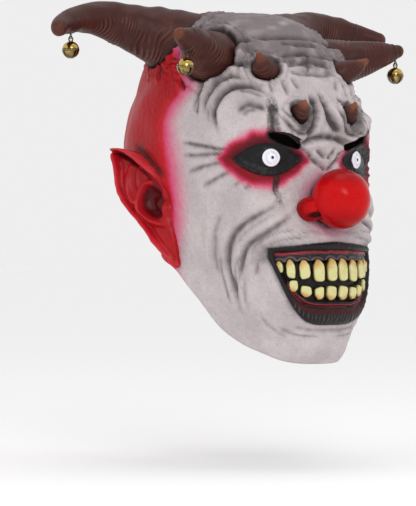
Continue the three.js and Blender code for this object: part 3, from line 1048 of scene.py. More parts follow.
BROW_FOLDS = (
    Crease(((48, -104), (50, -90), (50, -81), (46.5, -70), (40, -64.5), (31, -65.5), (25, -74)),
           2.3, 3.2, 0.85),
    Crease(((39, -68.5), (34, -69.5), (27.5, -74)), 1.6, 1.2, 0.6),
    Crease(((39, -88), (37.5, -82), (34.5, -79), (30, -81), (27, -84)), 3.2, 2.2, 0.7),
    Crease(((37, -90), (35, -85), (31, -84.5)), 2.2, 1.0, 0.5),
    Crease(((55.5, -88), (55, -76), (52.5, -66), (48, -59), (41, -56), (34, -60)), 2.2, 2.6, 0.75),
    Crease(((64, -82), (60.5, -70.5), (58.5, -62), (54, -54), (46, -49)), 2.4, 2.8, 0.8),
    Crease(((60.5, -86), (58, -72)), 1.7, 1.2, 0.7),
    Crease(((52.5, -94), (53, -84), (51, -76)), 1.6, 1.0, 0.5),
    Crease(((24, -85), (18, -96), (11.5, -99.5), (8, -91), (5.5, -78)), 1.6, 2.6, 0.8),
    Crease(((22, -80), (19, -89), (14, -93), (10.5, -88), (9, -80)), 1.2, 1.6, 0.7),
    Crease(((25, -61), (24, -69)), 1.8, 1.8, 0.55),
    Crease(((19, -58), (17, -71)), 1.8, 2.0, 0.6),
    Crease(((-6, -68), (-6, -81), (-8.5, -95), (-10, -106)), 3.0, 4.0, 0.95, mirrored=False),
    Crease(((-0.5, -66), (0, -80), (4, -94), (7.5, -100)), 3.0, 4.0, 0.95, mirrored=False),
    Crease(((10, -70), (10.5, -82), (9, -95)), 2.2, 2.6, 0.7, mirrored=False),
    Crease(((13, -110), (6.5, -105), (-3, -103.5)), 2.4, 3.2, 0.85),
    Crease(((10, -118), (4.5, -125), (0, -132)), 1.7, 1.6, 0.75),
    Crease(((5, -114), (0.5, -122)), 1.6, 1.5, 0.7),
    Crease(((13.5, -111.5), (9.5, -116), (6, -121)), 1.3, 1.1, 0.65),
)
CHEEK_FOLDS = (
    Crease(((38, -115.5), (47, -114), (58, -110.5), (71, -107)), 1.7, 0.9, 0.8),
    Crease(((38, -119), (50, -118), (60, -118.5), (70, -118)), 1.6, 0.9, 0.75),
    Crease(((38, -121.5), (47, -124.5), (57, -128), (67, -133)), 1.7, 0.9, 0.75),
    Crease(((36, -128), (44, -133), (51, -139), (58, -144)), 1.7, 0.9, 0.7),
    Crease(((33, -134), (38, -139), (42, -145)), 1.5, 1.0, 0.5),
    Crease(((34, -142), (37, -146)), 1.8, 1.2, 0.6),
    Crease(((19, -150), (25, -160), (33, -169), (38.5, -177), (42.5, -188), (43.5, -200), (43, -212),
            (41, -223), (39.5, -237), (37, -251)), 2.3, 2.9, 0.72),
    Crease(((12, -159), (21.5, -172), (28, -181), (34, -190), (37, -200), (38, -211), (39.5, -226)),
           2.2, 2.8, 0.7),
    Crease(((28, -196), (31, -205), (32, -216)), 1.6, 1.6, 0.5),
    Crease(((17, -167), (24.5, -178), (31, -189), (34, -200)), 1.6, 0.9, 0.5),
    Crease(((22.5, -163), (30, -172), (36, -181), (39.5, -191)), 1.6, 0.8, 0.45),
    Crease(((46.5, -194), (47, -210), (45, -226), (42, -242)), 1.7, 0.9, 0.5),
    Crease(((36, -214), (36.5, -228), (34.5, -244)), 1.6, 0.8, 0.45),
    Crease(((35, -196), (39.5, -204), (40.5, -216), (40, -230)), 1.4, 1.2, 0.5),
    Crease(((45, -165), (49, -172), (51, -186), (51, -202), (47, -220)), 3.2, 2.0, 0.42),
    Crease(((28, -191), (20, -186), (10, -184)), 1.3, 1.2, 0.5),
    Crease(((30, -187), (23, -181), (16, -179)), 1.2, 1.0, 0.45),
    Crease(((17, -183), (11, -180), (4, -181)), 1.1, 0.8, 0.35),
    Crease(((18, -255), (8, -259), (-4, -259)), 1.4, 1.2, 0.5),
    Crease(((24, -255), (14, -262.5), (3, -264)), 1.3, 0.9, 0.45),
    Crease(((30, -247), (24, -258), (17, -265)), 1.3, 0.9, 0.4),
)
CROWN_FOLDS = (
    Crease(((31, -24.5), (13, -23), (-5, -22.5)), 1.6, 1.8, 0.6),
    Crease(((47, -39), (41.5, -30), (30, -25)), 2.2, 2.8, 0.8),
    Crease(((47, -44), (41, -46.5), (34, -46.5)), 2.0, 2.4, 0.8),
    Crease(((53, -16), (43, -29)), 2.2, 2.4, 0.8),
    Crease(((15, -28.5), (-2.5, -29)), 1.8, 1.6, 0.6),
    Crease(((20, -40), (12, -38), (-4, -36.5)), 2.0, 1.8, 0.65),
    Crease(((15, -47.5), (7, -45), (-3, -43)), 2.0, 2.0, 0.65),
    Crease(((16, -52), (6, -53.5), (-4, -53)), 1.8, 1.6, 0.55),
    Crease(((2, -34), (-1, -44), (-4.5, -54)), 1.6, 1.6, 0.6, mirrored=False),
    Crease(((14, -57), (11, -66)), 1.8, 1.6, 0.5),
)
HOOD_FOLDS = (
    Crease(((117, -36), (115, -45), (112, -54)), 1.5, 1.8, 0.4),
    Crease(((101, -36), (99, -45), (98, -56)), 1.7, 3.0, 1.0),
    Crease(((77, -55), (71, -65)), 1.6, 2.2, 0.8),
    # painted shadow of the ear, along its root on the hood
    Crease(((114, -107), (97, -120.5), (83, -137)), 3.6, 1.0, 0.8),
)
PADS = (
    Form(37, -88, 7, 9, 3.5), Form(15, -90, 6, 8, 2.6), Form(24, -180, 5, 9, 2.4),
    Form(36, -186, 3.5, 16, 1.8), Form(47, -195, 4, 18, 2.2), Form(40, -38, 5.5, 6, 5.0),
    Form(0, -271, 8, 7, 1.5), Form(34, -155, 12, 7, 2.0), Form(56, -76, 3, 8, 1.6),
    Form(30, -146, 12, 4, -1.2), Form(21, -98, 9, 4.5, 3.0), Form(0, -113, 6, 6, 2.2),
)


@dataclass(frozen=True)
class Slit:
    """Viewing slit on each side: a tilted ellipse, by its place, half sizes and tilt."""

    out: float = 36.5
    z: float = -107.0
    half: float = 15.0
    tall: float = 4.0
    tilt: float = 0.34

    def turned(self, out: Array, z: Array) -> tuple[Array, Array]:
        """Places along and over the slit, from places across and up.

        Args:
            out: place across.
            z: height.

        Returns:
            The two places.
        """
        x, up = out - self.out, z - self.z
        cosine, sine = math.cos(self.tilt), math.sin(self.tilt)
        return x * cosine + up * sine, up * cosine - x * sine

    def level(self, points: Array) -> Array:
        """Distance inside the slits, negative outside.

        Args:
            points: positions.

        Returns:
            One distance for each point.
        """
        along, over = self.turned(np.abs(points[..., 0]), points[..., 2])
        size = np.sqrt((along / self.half) ** 2 + (over / self.tall) ** 2)
        slope = np.sqrt((along / self.half**2) ** 2 + (over / self.tall**2) ** 2) / np.maximum(size, TINY)
        return np.where(points[..., 1] < 0, (1 - size) / np.maximum(slope, TINY), FAR_OUTSIDE)

    def on_edge(self, out: float, z: float) -> tuple[float, float]:
        """Place across and up on the slit's edge, in line with its middle and a place near the edge.

        Args:
            out: place across.
            z: height.

        Returns:
            The two places.
        """
        along, over = self.turned(out, z)
        size = max(math.hypot(along / self.half, over / self.tall), TINY)
        along, over = along / size, over / size
        cosine, sine = math.cos(self.tilt), math.sin(self.tilt)
        return self.out + along * cosine - over * sine, self.z + along * sine + over * cosine


SLIT = Slit()
NOSE_CENTRE = np.array([0.0, -140.0, -154.0])
NOSE_RADIUS = 24.0


@dataclass
class Skin:
    """Face skin at work: base points and angles, then its lift, its painted shade with airbrushed dark paint,
    and the marks for the paint.
    """

    points: Array
    angle: Array

    def __post_init__(self) -> None:
        """Start with a plain and clean skin."""
        self.degrees = np.degrees(np.abs(self.angle))
        self.across = self.degrees * MM_PER_DEGREE
        self.z = self.points[..., 2]
        self.lift = np.zeros_like(self.z)
        self.shade_and_grime = np.zeros_like(self.z)
        self.marks: Marks = {}

    def shade(self, amount: Array) -> None:
        """Darken the skin to an amount of painted shade and airbrushed dark paint."""
        self.shade_and_grime = np.maximum(self.shade_and_grime, amount)

    def line(self, line: Line, mirrored: bool = True) -> tuple[Array, Array, Array]:
        """Distance from a line given in degrees and heights, the share along it and the side of it."""
        across = self.across if mirrored else self.across * np.sign(self.angle)
        return curve_distance(across, self.z, [(degrees * MM_PER_DEGREE, z) for degrees, z in line])


@dataclass(frozen=True)
class Folding:
    """Fold lines with a shoulder on each side and airbrushed shade, and soft pads between them."""

    waver: Waves = Waves(11, 3, 0.2)
    taper: Ramp = Ramp(-0.04, 0.24)
    thinnest: float = 0.6
    shoulder: Ridge = Ridge(2.4, 1.7)
    shoulder_heights: tuple[float, float] = (0.75, 0.3)
    halo_widths: tuple[float, float] = (1.6, 3.0)
    halo_share: float = 0.45
    core_width: float = 0.85

    def sculpt(self, skin: Skin) -> None:
        """Press the folds into the skin and shade them.

        Args:
            skin: skin at work.
        """
        for pad in PADS:
            skin.lift += pad.at(skin.degrees, skin.z)
        waver = self.waver.at(skin.points)
        for crease in BROW_FOLDS + CHEEK_FOLDS + CROWN_FOLDS + HOOD_FOLDS:
            away, share, side = skin.line(crease.points, crease.mirrored)
            taper = self.taper.at(share) * self.taper.at(1 - share)
            width = crease.width * (self.thinnest + (1 - self.thinnest) * taper)
            widths = np.maximum(away + waver, 0) / width
            rise = np.where(side > 0, *self.shoulder_heights) * self.shoulder.at(widths)
            skin.lift += crease.depth * taper * (rise - bell_curve(widths, 1))
            # painted shade along each fold: a dark core and a soft halo, wider on the side without the high
            # shoulder, as a shadow below the fold
            halo = bell_curve(widths, np.where(side > 0, *self.halo_widths))
            core = bell_curve(widths, self.core_width)
            spray = self.halo_share * halo + (1 - self.halo_share) * core
            skin.shade(crease.shade * spray * taper)


@dataclass(frozen=True)
class Crown:
    """Rough grey crown between the horns: wrinkles with painted shade in the furrows and raked scratches, and
    a coat that is thinner on the lower crests, as wear and as a painted highlight.
    """

    front: Ramp = Ramp(110, 80)
    edge: Ramp = Ramp(-64, -36)
    edge_waver: Waves = Waves(11, 3, 5.0)
    below_top: Ramp = Ramp(-14, -26)
    wrinkles: Waves = Waves(15, 5, 1.0, (0.6, 0.6, 1.6))
    wrinkle_height: float = 0.8
    wrinkle_most: float = 1.2
    furrow: Ridge = Ridge(0, 0.16)
    furrow_patches: Waves = Waves(26, 7)
    furrow_cover: Ramp = Ramp(-0.4, 0.7)
    furrow_depth: float = 0.7
    furrow_shade: float = 0.65
    rakes: Waves = Waves(8, 15, 1.0, (0.4, 0.4, 1.8))
    rake: Ridge = Ridge(0, 0.14)
    rake_below: Ramp = Ramp(-26, -40)
    rake_depth: float = 0.4
    rake_shade: float = 0.55
    pebbles: Waves = Waves(6, 9)
    pebbles_on_face: float = 0.2
    pebbles_on_crown: float = 0.3
    worn_and_highlit_below: Ramp = Ramp(-30, -44)
    coat: Waves = Waves(18, 21, 0.2)
    coat_cover: float = 0.95
    coat_worn_and_highlit: float = 0.7

    def sculpt(self, skin: Skin) -> None:
        """Wrinkle the crown and mark where its grey coat goes.

        Args:
            skin: skin at work.
        """
        front = self.front.at(skin.degrees)
        crown = self.edge.at(skin.z + self.edge_waver.at(skin.points)) * front
        wrinkled = crown * self.below_top.at(skin.z)
        folds = self.wrinkles.at(skin.points)
        furrow = self.furrow.at(folds) * wrinkled * self.furrow_cover.at(self.furrow_patches.at(skin.points))
        rake = self.rake.at(self.rakes.at(skin.points)) * wrinkled * self.rake_below.at(skin.z)
        pebbles = (self.pebbles_on_face + self.pebbles_on_crown * wrinkled) * self.pebbles.at(skin.points)
        skin.lift += wrinkled * self.wrinkle_height * np.minimum(np.abs(folds), self.wrinkle_most)
        skin.lift += pebbles * front - self.furrow_depth * furrow - self.rake_depth * rake
        skin.shade(self.furrow_shade * furrow)
        skin.shade(self.rake_shade * rake)
        # lighter on the lower crests: the grey coat worn thin, and a painted highlight
        worn = np.clip(folds, 0, 1) * self.worn_and_highlit_below.at(skin.z)
        coat = self.coat_cover + self.coat.at(skin.points) - self.coat_worn_and_highlit * worn
        skin.marks["crown"] = crown * coat


@dataclass(frozen=True)
class Hood:
    """Red hood behind the face: soft swells, a sprayed edge by height and degrees, and a dent in each ear."""

    edge: Line = (
        (-215, 86), (-204, 87), (-186, 83), (-170, 79), (-154, 78), (-130, 79), (-109, 81), (-90, 84),
        (-77, 80), (-63, 70), (-45, 77), (-30, 88), (-15, 100), (-5, 112), (3, 128),
    )
    spray_mm_per_degree: float = 1.5
    swells: Waves = Waves(38, 11, 0.9)
    swell_behind: Ramp = Ramp(70, 95)
    mottle: Waves = Waves(34, 23, 0.4)
    mottle_middle: float = 0.5
    rear: Ramp = Ramp(105, 135)
    ear_bowl: Form = Form(94, -155, 9, 12, 1.0)
    ear_dent: float = 8.0
    ear_shade: float = 0.6

    def sculpt(self, skin: Skin) -> None:
        """Swell the hood, press in the ears' bowls and mark where the red goes.

        Args:
            skin: skin at work.
        """
        skin.lift += self.swells.at(skin.points) * self.swell_behind.at(skin.degrees)
        in_ear = self.ear_bowl.at(skin.degrees, skin.z)
        skin.lift -= self.ear_dent * in_ear
        skin.shade(self.ear_shade * in_ear)
        heights, edge = np.array(self.edge, float).T
        skin.marks["hood"] = (skin.degrees - np.interp(skin.z, heights, edge)) * self.spray_mm_per_degree
        skin.marks["rear"] = self.rear.at(skin.degrees)
        skin.marks["mottle"] = self.mottle_middle + self.mottle.at(skin.points)


@dataclass(frozen=True)
class Root:
    """Skin lip round a horn or spike: its height and spread, and how strong the painted shade in its seam is.
    """

    shape: HornShape
    lip: float
    spread: float
    seam: float
    ruffle: Waves = Waves(9, 41, 0.8)
    lip_form: Ridge = Ridge(1.0, 0.9)
    tuck_gap: float = 0.4
    tuck: float = -1.2
    gathers: Waves = Waves(8, 43, 1.2, (1.0, 1.0, 1.8))
    gathered: Ridge = Ridge(2.6, 2.0)
    seam_gap: float = 0.5
    seam_width: float = 2.6
    line_place: float = 2.4
    line_width: float = 1.4
    line_share: float = 0.5

    def sculpt(self, skin: Skin, side: Side) -> None:
        """Raise the lip, tuck the skin under the horn, and paint shade into the seam and along the lip's
        edge.

        Args:
            skin: skin at work.
            side: side of the head.
        """
        gap = self.shape.distance(skin.points, side)
        rough = gap + self.ruffle.at(skin.points)
        skin.lift += self.lip * self.lip_form.at(rough / self.spread)
        skin.lift = np.where(gap < self.tuck_gap, np.minimum(skin.lift, self.tuck), skin.lift)
        skin.lift += np.abs(self.gathers.at(skin.points)) * self.gathered.at(gap / self.spread)
        skin.shade(self.seam * bell_curve(np.maximum(gap - self.seam_gap, 0), self.seam_width))
        line = bell_curve(rough - self.line_place * self.spread, self.line_width)
        skin.shade(self.line_share * self.seam * line)


ROOTS = (
    Root(BACK_HORN, lip=2.6, spread=3.0, seam=0.7),
    Root(FRONT_HORN, lip=3.0, spread=3.2, seam=0.8),
    Root(CROWN_SPIKE, lip=2.4, spread=2.4, seam=0.75),
    Root(BROW_SPIKE, lip=2.4, spread=2.4, seam=0.7),
)


@dataclass(frozen=True)
class Stripe:
    """Brushed stripe of black paint: degrees and height at each point, half width and strength."""

    points: Line
    width: float
    strength: float
    core: float = 0.1
    edge: Waves = Waves(3, 53, 0.5, (1.0, 1.0, 0.2))
    bristles: Waves = Waves(2.8, 57, 0.25, (1.0, 1.0, 0.06))
    bristle_middle: float = 0.95
    fade: Ramp = Ramp(0.0, 0.5, low=0.4)

    def paint(self, skin: Skin) -> Array:
        """Strength of the stripe all over the skin.

        Args:
            skin: skin at work.

        Returns:
            One value for each point.
        """
        away, share, _ = skin.line(self.points)
        brushed = smoothstep(self.width, self.core * self.width, away + self.edge.at(skin.points))
        bristles = self.bristle_middle + self.bristles.at(skin.points)
        return self.strength * brushed * bristles * self.fade.at(share)


@dataclass(frozen=True)
class Eyes:
    """Ridged lids round glossy blank eyes, the slits over them and the brushed make-up."""

    degrees: float = 26.5
    z: float = -122.5
    half: float = 29.0
    tall: float = 13.5
    lid_slope: float = 0.85
    lid_roll: Ridge = Ridge(-2.0, 1.6, 1.5)
    lid_line: Ridge = Ridge(4.2, 0.9)
    lid_groove: Ridge = Ridge(5.8, 0.8, -0.9)
    lid_step: Ramp = Ramp(-0.5, 1.6, -1.9)
    iris_right: float = 25.3
    iris_left: float = 22.8
    iris_z: float = -121.0
    iris_radius: float = 7.0
    iris_ring: Ridge = Ridge(4.2, 0.8)
    iris_step: Ramp = Ramp(7.6, 6.6, 0.7)
    off_iris: Ramp = Ramp(8.0, 11.0)
    ball: Ridge = Ridge(0.0, 9.5, 2.2)
    pupil_radius: float = 1.4
    pupil_shift: float = 0.8
    slit_rim: Ridge = Ridge(-2.2, 1.8, 1.3)
    slit_brow: Ridge = Ridge(2.0, 4.0, 2.0)
    slit_brow_up: float = 8.0
    slit_paint_mm: float = 0.7
    black_least: float = -30.0
    make_up_upper: tuple[float, float] = (21.0, 4.0)
    make_up_lower: tuple[float, float] = (20.5, 2.0)
    make_up_half: float = 36.0
    make_up_slope: float = 0.8
    make_up_edge: Waves = Waves(12, 55, 0.5)
    stroke_counts: tuple[int, int] = (29, 47)
    stroke_waver: Waves = Waves(20, 51, 2.0)
    stroke_start: float = 1.0
    stroke_squeeze: float = 1.6
    stroke_mm: float = 0.1
    shade_spread: float = 5.5
    shade_above: Ramp = Ramp(-3.0, 5.0, low=0.35)
    stripes: tuple[Stripe, ...] = (
        Stripe(((25, -72), (25, -88), (25.5, -103)), 8.0, 1.1),
        Stripe(((21.5, -160), (24, -148), (23.5, -136)), 5.5, 0.9),
    )

    def sculpt(self, skin: Skin) -> None:
        """Form the lids and eyeballs, and mark the eyes' black, white and make-up.

        Args:
            skin: skin at work.
        """
        along = skin.across - self.degrees * MM_PER_DEGREE
        up = skin.z - self.z
        lid = (self.tall * (1 - (along / self.half) ** 2) - np.abs(up)) * self.lid_slope
        iris = np.where(skin.points[..., 0] > 0, self.iris_left, self.iris_right) * MM_PER_DEGREE
        from_iris = np.hypot(skin.across - iris, skin.z - self.iris_z)
        from_pupil = np.hypot(skin.across - iris + self.pupil_shift, skin.z - self.iris_z)
        slit = SLIT.level(skin.points)
        skin.lift += self.lid_roll.at(lid) + self.lid_step.at(lid)
        skin.lift += (self.lid_line.at(lid) + self.lid_groove.at(lid)) * self.off_iris.at(from_iris)
        skin.lift += self.ball.at(from_iris) + self.iris_step.at(from_iris)
        skin.lift += self.slit_rim.at(slit)
        skin.lift += self.slit_brow.at(SLIT.level(skin.points - self.slit_brow_up * UPWARD))
        shade = bell_curve(np.minimum(lid, 0), self.shade_spread) * self.shade_above.at(up)
        skin.marks["eye_shade"] = shade
        skin.marks["eye_black"] = np.maximum(np.maximum(lid, slit + self.slit_paint_mm), self.black_least)
        skin.marks["iris"] = self.iris_radius - from_iris
        skin.marks["iris_ring"] = self.iris_ring.at(from_iris)
        skin.marks["pupil"] = self.pupil_radius - from_pupil
        skin.marks["make_up"] = self.make_up(skin, along, up)
        skin.marks["stripe"] = np.maximum(*(stripe.paint(skin) for stripe in self.stripes))

    def make_up(self, skin: Skin, along: Array, up: Array) -> Array:
        """Distance inside the edge of the red make-up, with brush strokes that run out of the eye.

        Args:
            skin: the skin.
            along: distance along the eye from its middle.
            up: height over its middle.

        Returns:
            Distances, negative outside.
        """
        halves = []
        for tall, shift in (self.make_up_upper, self.make_up_lower):
            halves.append(tall * (1 - ((along - shift) / self.make_up_half) ** 2) - np.abs(up))
        inside = np.where(up > 0, *halves) * self.make_up_slope
        bearing = np.arctan2(up * self.stroke_squeeze, along)
        few, many = self.stroke_counts
        strokes = np.sin(few * bearing + self.stroke_waver.at(skin.points))
        strokes = strokes + np.sin(many * bearing + self.stroke_start)
        return inside + self.stroke_mm * strokes + self.make_up_edge.at(skin.points)


@dataclass(frozen=True)
class Mouth:
    """Rolled black lips round a shallow pocket for the teeth."""

    proud: float = 2.4
    proud_loss: float = 0.6
    proud_power: float = 3.0
    roundness: float = 0.6
    pocket: Ramp = Ramp(0.0, 3.0, -8.0)
    calm: Ramp = Ramp(0.0, -1.5)
    groove: Ridge = Ridge(-1.2, 1.6, -1.0)
    folds_per_mm: float = 1.9
    fold_waver: Waves = Waves(9, 61, 1.6)
    fold_height: float = 0.25
    red: Ridge = Ridge(-1.8, 1.8)
    red_below: Ramp = Ramp(-228, -238)
    streak: Ridge = Ridge(-5.0, 5.0)
    streak_below: Ramp = Ramp(-226, -240)
    streak_middle: float = 0.2
    streak_swing: float = 0.8
    shade: float = 0.5
    shade_spread: float = 5.5
    shade_beside: Ramp = Ramp(24, 44, low=0.3)

    def sculpt(self, skin: Skin) -> None:
        """Roll the lips, press in the pocket and mark the lips' black and red.

        Args:
            skin: skin at work.
        """
        out = np.abs(skin.points[..., 0])
        outer, inner = LIPS.inside(skin.points), MOUTH.inside(skin.points)
        share = np.clip(outer / np.maximum(outer - inner, TINY), 0, 1)
        band = np.where((outer > 0) & (inner < 0), np.sin(math.pi * share) ** self.roundness, 0)
        proud = self.proud * (1 - self.proud_loss * np.clip(out / LIPS.half, 0, 1) ** self.proud_power)
        folds = np.sin(self.folds_per_mm * skin.points[..., 0] + self.fold_waver.at(skin.points))
        skin.lift = skin.lift * self.calm.at(outer)
        skin.lift += (proud + self.fold_height * folds) * band + self.pocket.at(inner)
        skin.lift += self.groove.at(outer)
        # painted highlight on the crests of the lower lip's folds
        streak = np.clip(self.streak_middle + self.streak_swing * folds, 0, 1)
        skin.marks["lip_black"] = outer
        skin.marks["lip_red"] = self.red.at(inner) * self.red_below.at(skin.z)
        skin.marks["lip_highlight_streak"] = streak * band * self.streak.at(inner) * self.streak_below.at(skin.z)
        shade = self.shade * bell_curve(np.minimum(outer, 0), self.shade_spread)
        skin.shade(shade * self.shade_beside.at(out))


@dataclass(frozen=True)
class NoseSeat:
    """Painted shade in the seam round the ball nose, and rouge on the skin round it."""

    seam: Ridge = Ridge(1.0, 3.0, 0.75)
    rouge_spread: float = 9.0

    def sculpt(self, skin: Skin) -> None:
        """Shade the seam and mark the rouge.

        Args:
            skin: skin at work.
        """
        gap = np.linalg.norm(skin.points - NOSE_CENTRE, axis=-1) - NOSE_RADIUS
        skin.shade(self.seam.at(gap))
        skin.marks["rouge"] = bell_curve(np.maximum(gap, 0), self.rouge_spread)


@dataclass
class HoodAndFace:
    """Hollow skin of the hood and face with its lining; the hem is given by places ahead and heights."""

    material: Material
    columns: int = 366
    rows: int = 204
    front_bias: float = 0.55
    lining_step: int = 5
    hem: Line = (
        (150, -287), (112, -286), (90, -277), (74, -269), (58, -256), (38, -230), (19, -210),
        (-14, -198), (-60, -191), (-140, -189),
    )
    hem_samples: int = 200
    first_hem_row: int = 8
    hem_search: int = 400
    hem_relief: Ramp = Ramp(0, 3, low=0.25)
    slit_margin: float = -2.0
    shade_and_grime_strength: float = 1.08
    shade_and_grime_waves: Waves = Waves(6, 31, 0.12)

    def hem_height(self, ahead: Array) -> Array:
        """Height of the free edge at a place ahead."""
        line = spline(np.array(self.hem, float), np.linspace(0, len(self.hem) - 1, self.hem_samples))[::-1]
        return np.interp(ahead, line[:, 0], line[:, 1])

    def grid(self) -> tuple[Array, Array]:
        """Angles and points of the outer skin, each column ending on the hem.

        Returns:
            Angles and positions.
        """
        turn = np.linspace(-math.pi, math.pi, self.columns, endpoint=False)
        angle = turn - self.front_bias * np.sin(turn)
        trial = np.linspace(self.first_hem_row, len(HEAD.sections) - 1, self.hem_search)
        points = HEAD.surface(trial[:, None], angle[None, :])
        above = points[..., 2] - self.hem_height(-points[..., 1])
        cut = np.argmax(above < 0, axis=0)
        pick = np.arange(self.columns)
        over, under = above[cut - 1, pick], above[cut, pick]
        end = trial[cut - 1] + (trial[cut] - trial[cut - 1]) * over / (over - under)
        share = np.arange(1, self.rows + 1) / self.rows
        row = share[:, None] * end[None, :]
        angles = np.broadcast_to(angle[None, :], row.shape)
        return angles, HEAD.surface(row, angles)

    @staticmethod
    def normals(points: Array) -> Array:
        """Outward directions of a wrapped grid.

        Args:
            points: positions.

        Returns:
            One unit vector for each point.
        """
        down = np.gradient(points, axis=0)
        across = np.roll(points, -1, axis=1) - np.roll(points, 1, axis=1)
        return unit(np.cross(down, across))

    def sculpt(self, skin: Skin) -> None:
        """Give the skin its relief, and every mark that the paint reads.

        Args:
            skin: plain skin.
        """
        for feature in (Folding(), Crown(), Hood()):
            feature.sculpt(skin)
        for root in ROOTS:
            for side in Side:
                root.sculpt(skin, side)
        for feature in (Eyes(), Mouth(), NoseSeat()):
            feature.sculpt(skin)
        # painted shade of every fold, furrow, seam and hollow, with airbrushed dark paint, gathered into one
        # mark
        strength = self.shade_and_grime_strength + self.shade_and_grime_waves.at(skin.points)
        skin.marks["shade_and_grime"] = np.clip(skin.shade_and_grime * strength, 0, 1)

    def build(self) -> None:
        """Make the outer skin, the lining, the hem and the viewing slits."""
        angle, base = self.grid()
        normal = self.normals(base)
        skin = Skin(base, angle)
        self.sculpt(skin)
        relief = skin.lift * self.hem_relief.at(np.arange(self.rows)[::-1])[:, None]
        outer = base + normal * relief[..., None]
        level = SLIT.level(outer)
        keep = np.union1d(np.arange(0, self.rows, self.lining_step), [self.rows - 1])
        keep = np.union1d(keep, np.flatnonzero(np.any(level > self.slit_margin, axis=1)))
        inner = (base + normal * (self.lowest(skin.lift) - WALL_MM)[..., None])[keep]
        tips = np.stack([HEAD.top, HEAD.top - WALL_MM * UPWARD])
        points = np.concatenate([outer.reshape(-1, 3), inner.reshape(-1, 3), tips])
        levels = np.concatenate([level.ravel(), level[keep].ravel(), np.full(len(tips), FAR_OUTSIDE)])
        marks = {}
        for key, values in skin.marks.items():
            filler = np.full(len(tips), values[0].mean())
            marks[key] = np.concatenate([values.ravel(), values[keep].ravel(), filler])
        outer_tip = len(points) - len(tips)
        # mark of the lining, which the skin paint darkens as painted shade
        marks["lining"] = np.ones(len(points))
        marks["lining"][:level.size] = 0
        marks["lining"][outer_tip] = 0
        piece = mesh_object("hood_and_face", points, self.faces(len(keep), levels), marks)
        self.edge_slits(piece)
        dress(piece, self.material, "face_shell")

    def faces(self, lining_rows: int, levels: Array) -> list[list[int]]:
        """Faces of the skin and lining, closed at the crown and the hem and open in the slits.

        Args:
            lining_rows: number of rows in the lining.
            levels: distance of each point inside a slit.

        Returns:
            Point numbers of each face.
        """
        columns = self.columns
        offset = self.rows * columns
        tip = offset + lining_rows * columns
        quads = np.concatenate([
            grid_faces(self.rows, columns, True),
            grid_faces(lining_rows, columns, True, flip=True) + offset])
        quads = quads[np.mean(levels[quads], axis=1) <= 0]
        edge = np.arange(offset - columns, offset)
        under = np.arange(tip - columns, tip)
        rim = np.stack([edge, np.roll(edge, -1), np.roll(under, -1), under], axis=1)
        faces = quads.tolist() + rim.tolist()
        faces += fan_faces(range(columns), tip, flip=True)
        return faces + fan_faces(range(offset, offset + columns), tip + 1)

    def lowest(self, lift: Array) -> Array:
        """Lowest lift round each point, so that the coarse lining stays under every fold.

        Args:
            lift: lift of each point.

        Returns:
            One lift for each point.
        """
        low = np.minimum(lift, 0)
        for _ in range(self.lining_step):
            down = np.concatenate([low[1:], low[-1:]])
            up = np.concatenate([low[:1], low[:-1]])
            low = np.minimum(low, np.minimum(down, up))
        return np.minimum(low, np.minimum(np.roll(low, 1, axis=1), np.roll(low, -1, axis=1)))

    @staticmethod
    def edge_slits(piece: Piece) -> None:
        """Round the cut edge of each viewing slit and join skin to lining.

        Args:
            piece: the piece.
        """
        shape = bmesh.new()
        shape.from_mesh(piece.data)
        border = [e for e in shape.edges if e.is_boundary]
        for vert in {v for e in border for v in e.verts}:
            out, z = SLIT.on_edge(abs(vert.co.x) / MM, vert.co.z / MM)
            vert.co.x = math.copysign(out, vert.co.x) * MM
            vert.co.z = z * MM
        for side in Side:
            bmesh.ops.bridge_loops(shape, edges=[e for e in border if side.value * e.verts[0].co.x > 0])
        for face in shape.faces:
            face.smooth = True
        shape.to_mesh(piece.data)
        shape.free()


# Pieces fixed to the face


def mirrored(place: tuple[float, float, float], side: Side) -> Array:
    """Point at a place out, ahead and up on one side."""
    out, ahead, up = place
    return np.array([side.value * out, -ahead, up])


def ball_directions(rows: int, columns: int, margin: float) -> Array:
    """Directions over a ball.

    Args:
        rows: number of rows from pole to pole.
        columns: number of directions in each row.
        margin: angle that is left out at each pole.

    Returns:
        Unit vectors by row and column, with the poles on Z.
    """
    polar = np.linspace(margin, math.pi - margin, rows)[:, None]
    turn = np.linspace(0, FULL_TURN, columns, endpoint=False)[None, :]
    return np.stack([
        np.sin(polar) * np.cos(turn), np.sin(polar) * np.sin(turn), np.cos(polar) + 0 * turn], axis=-1)


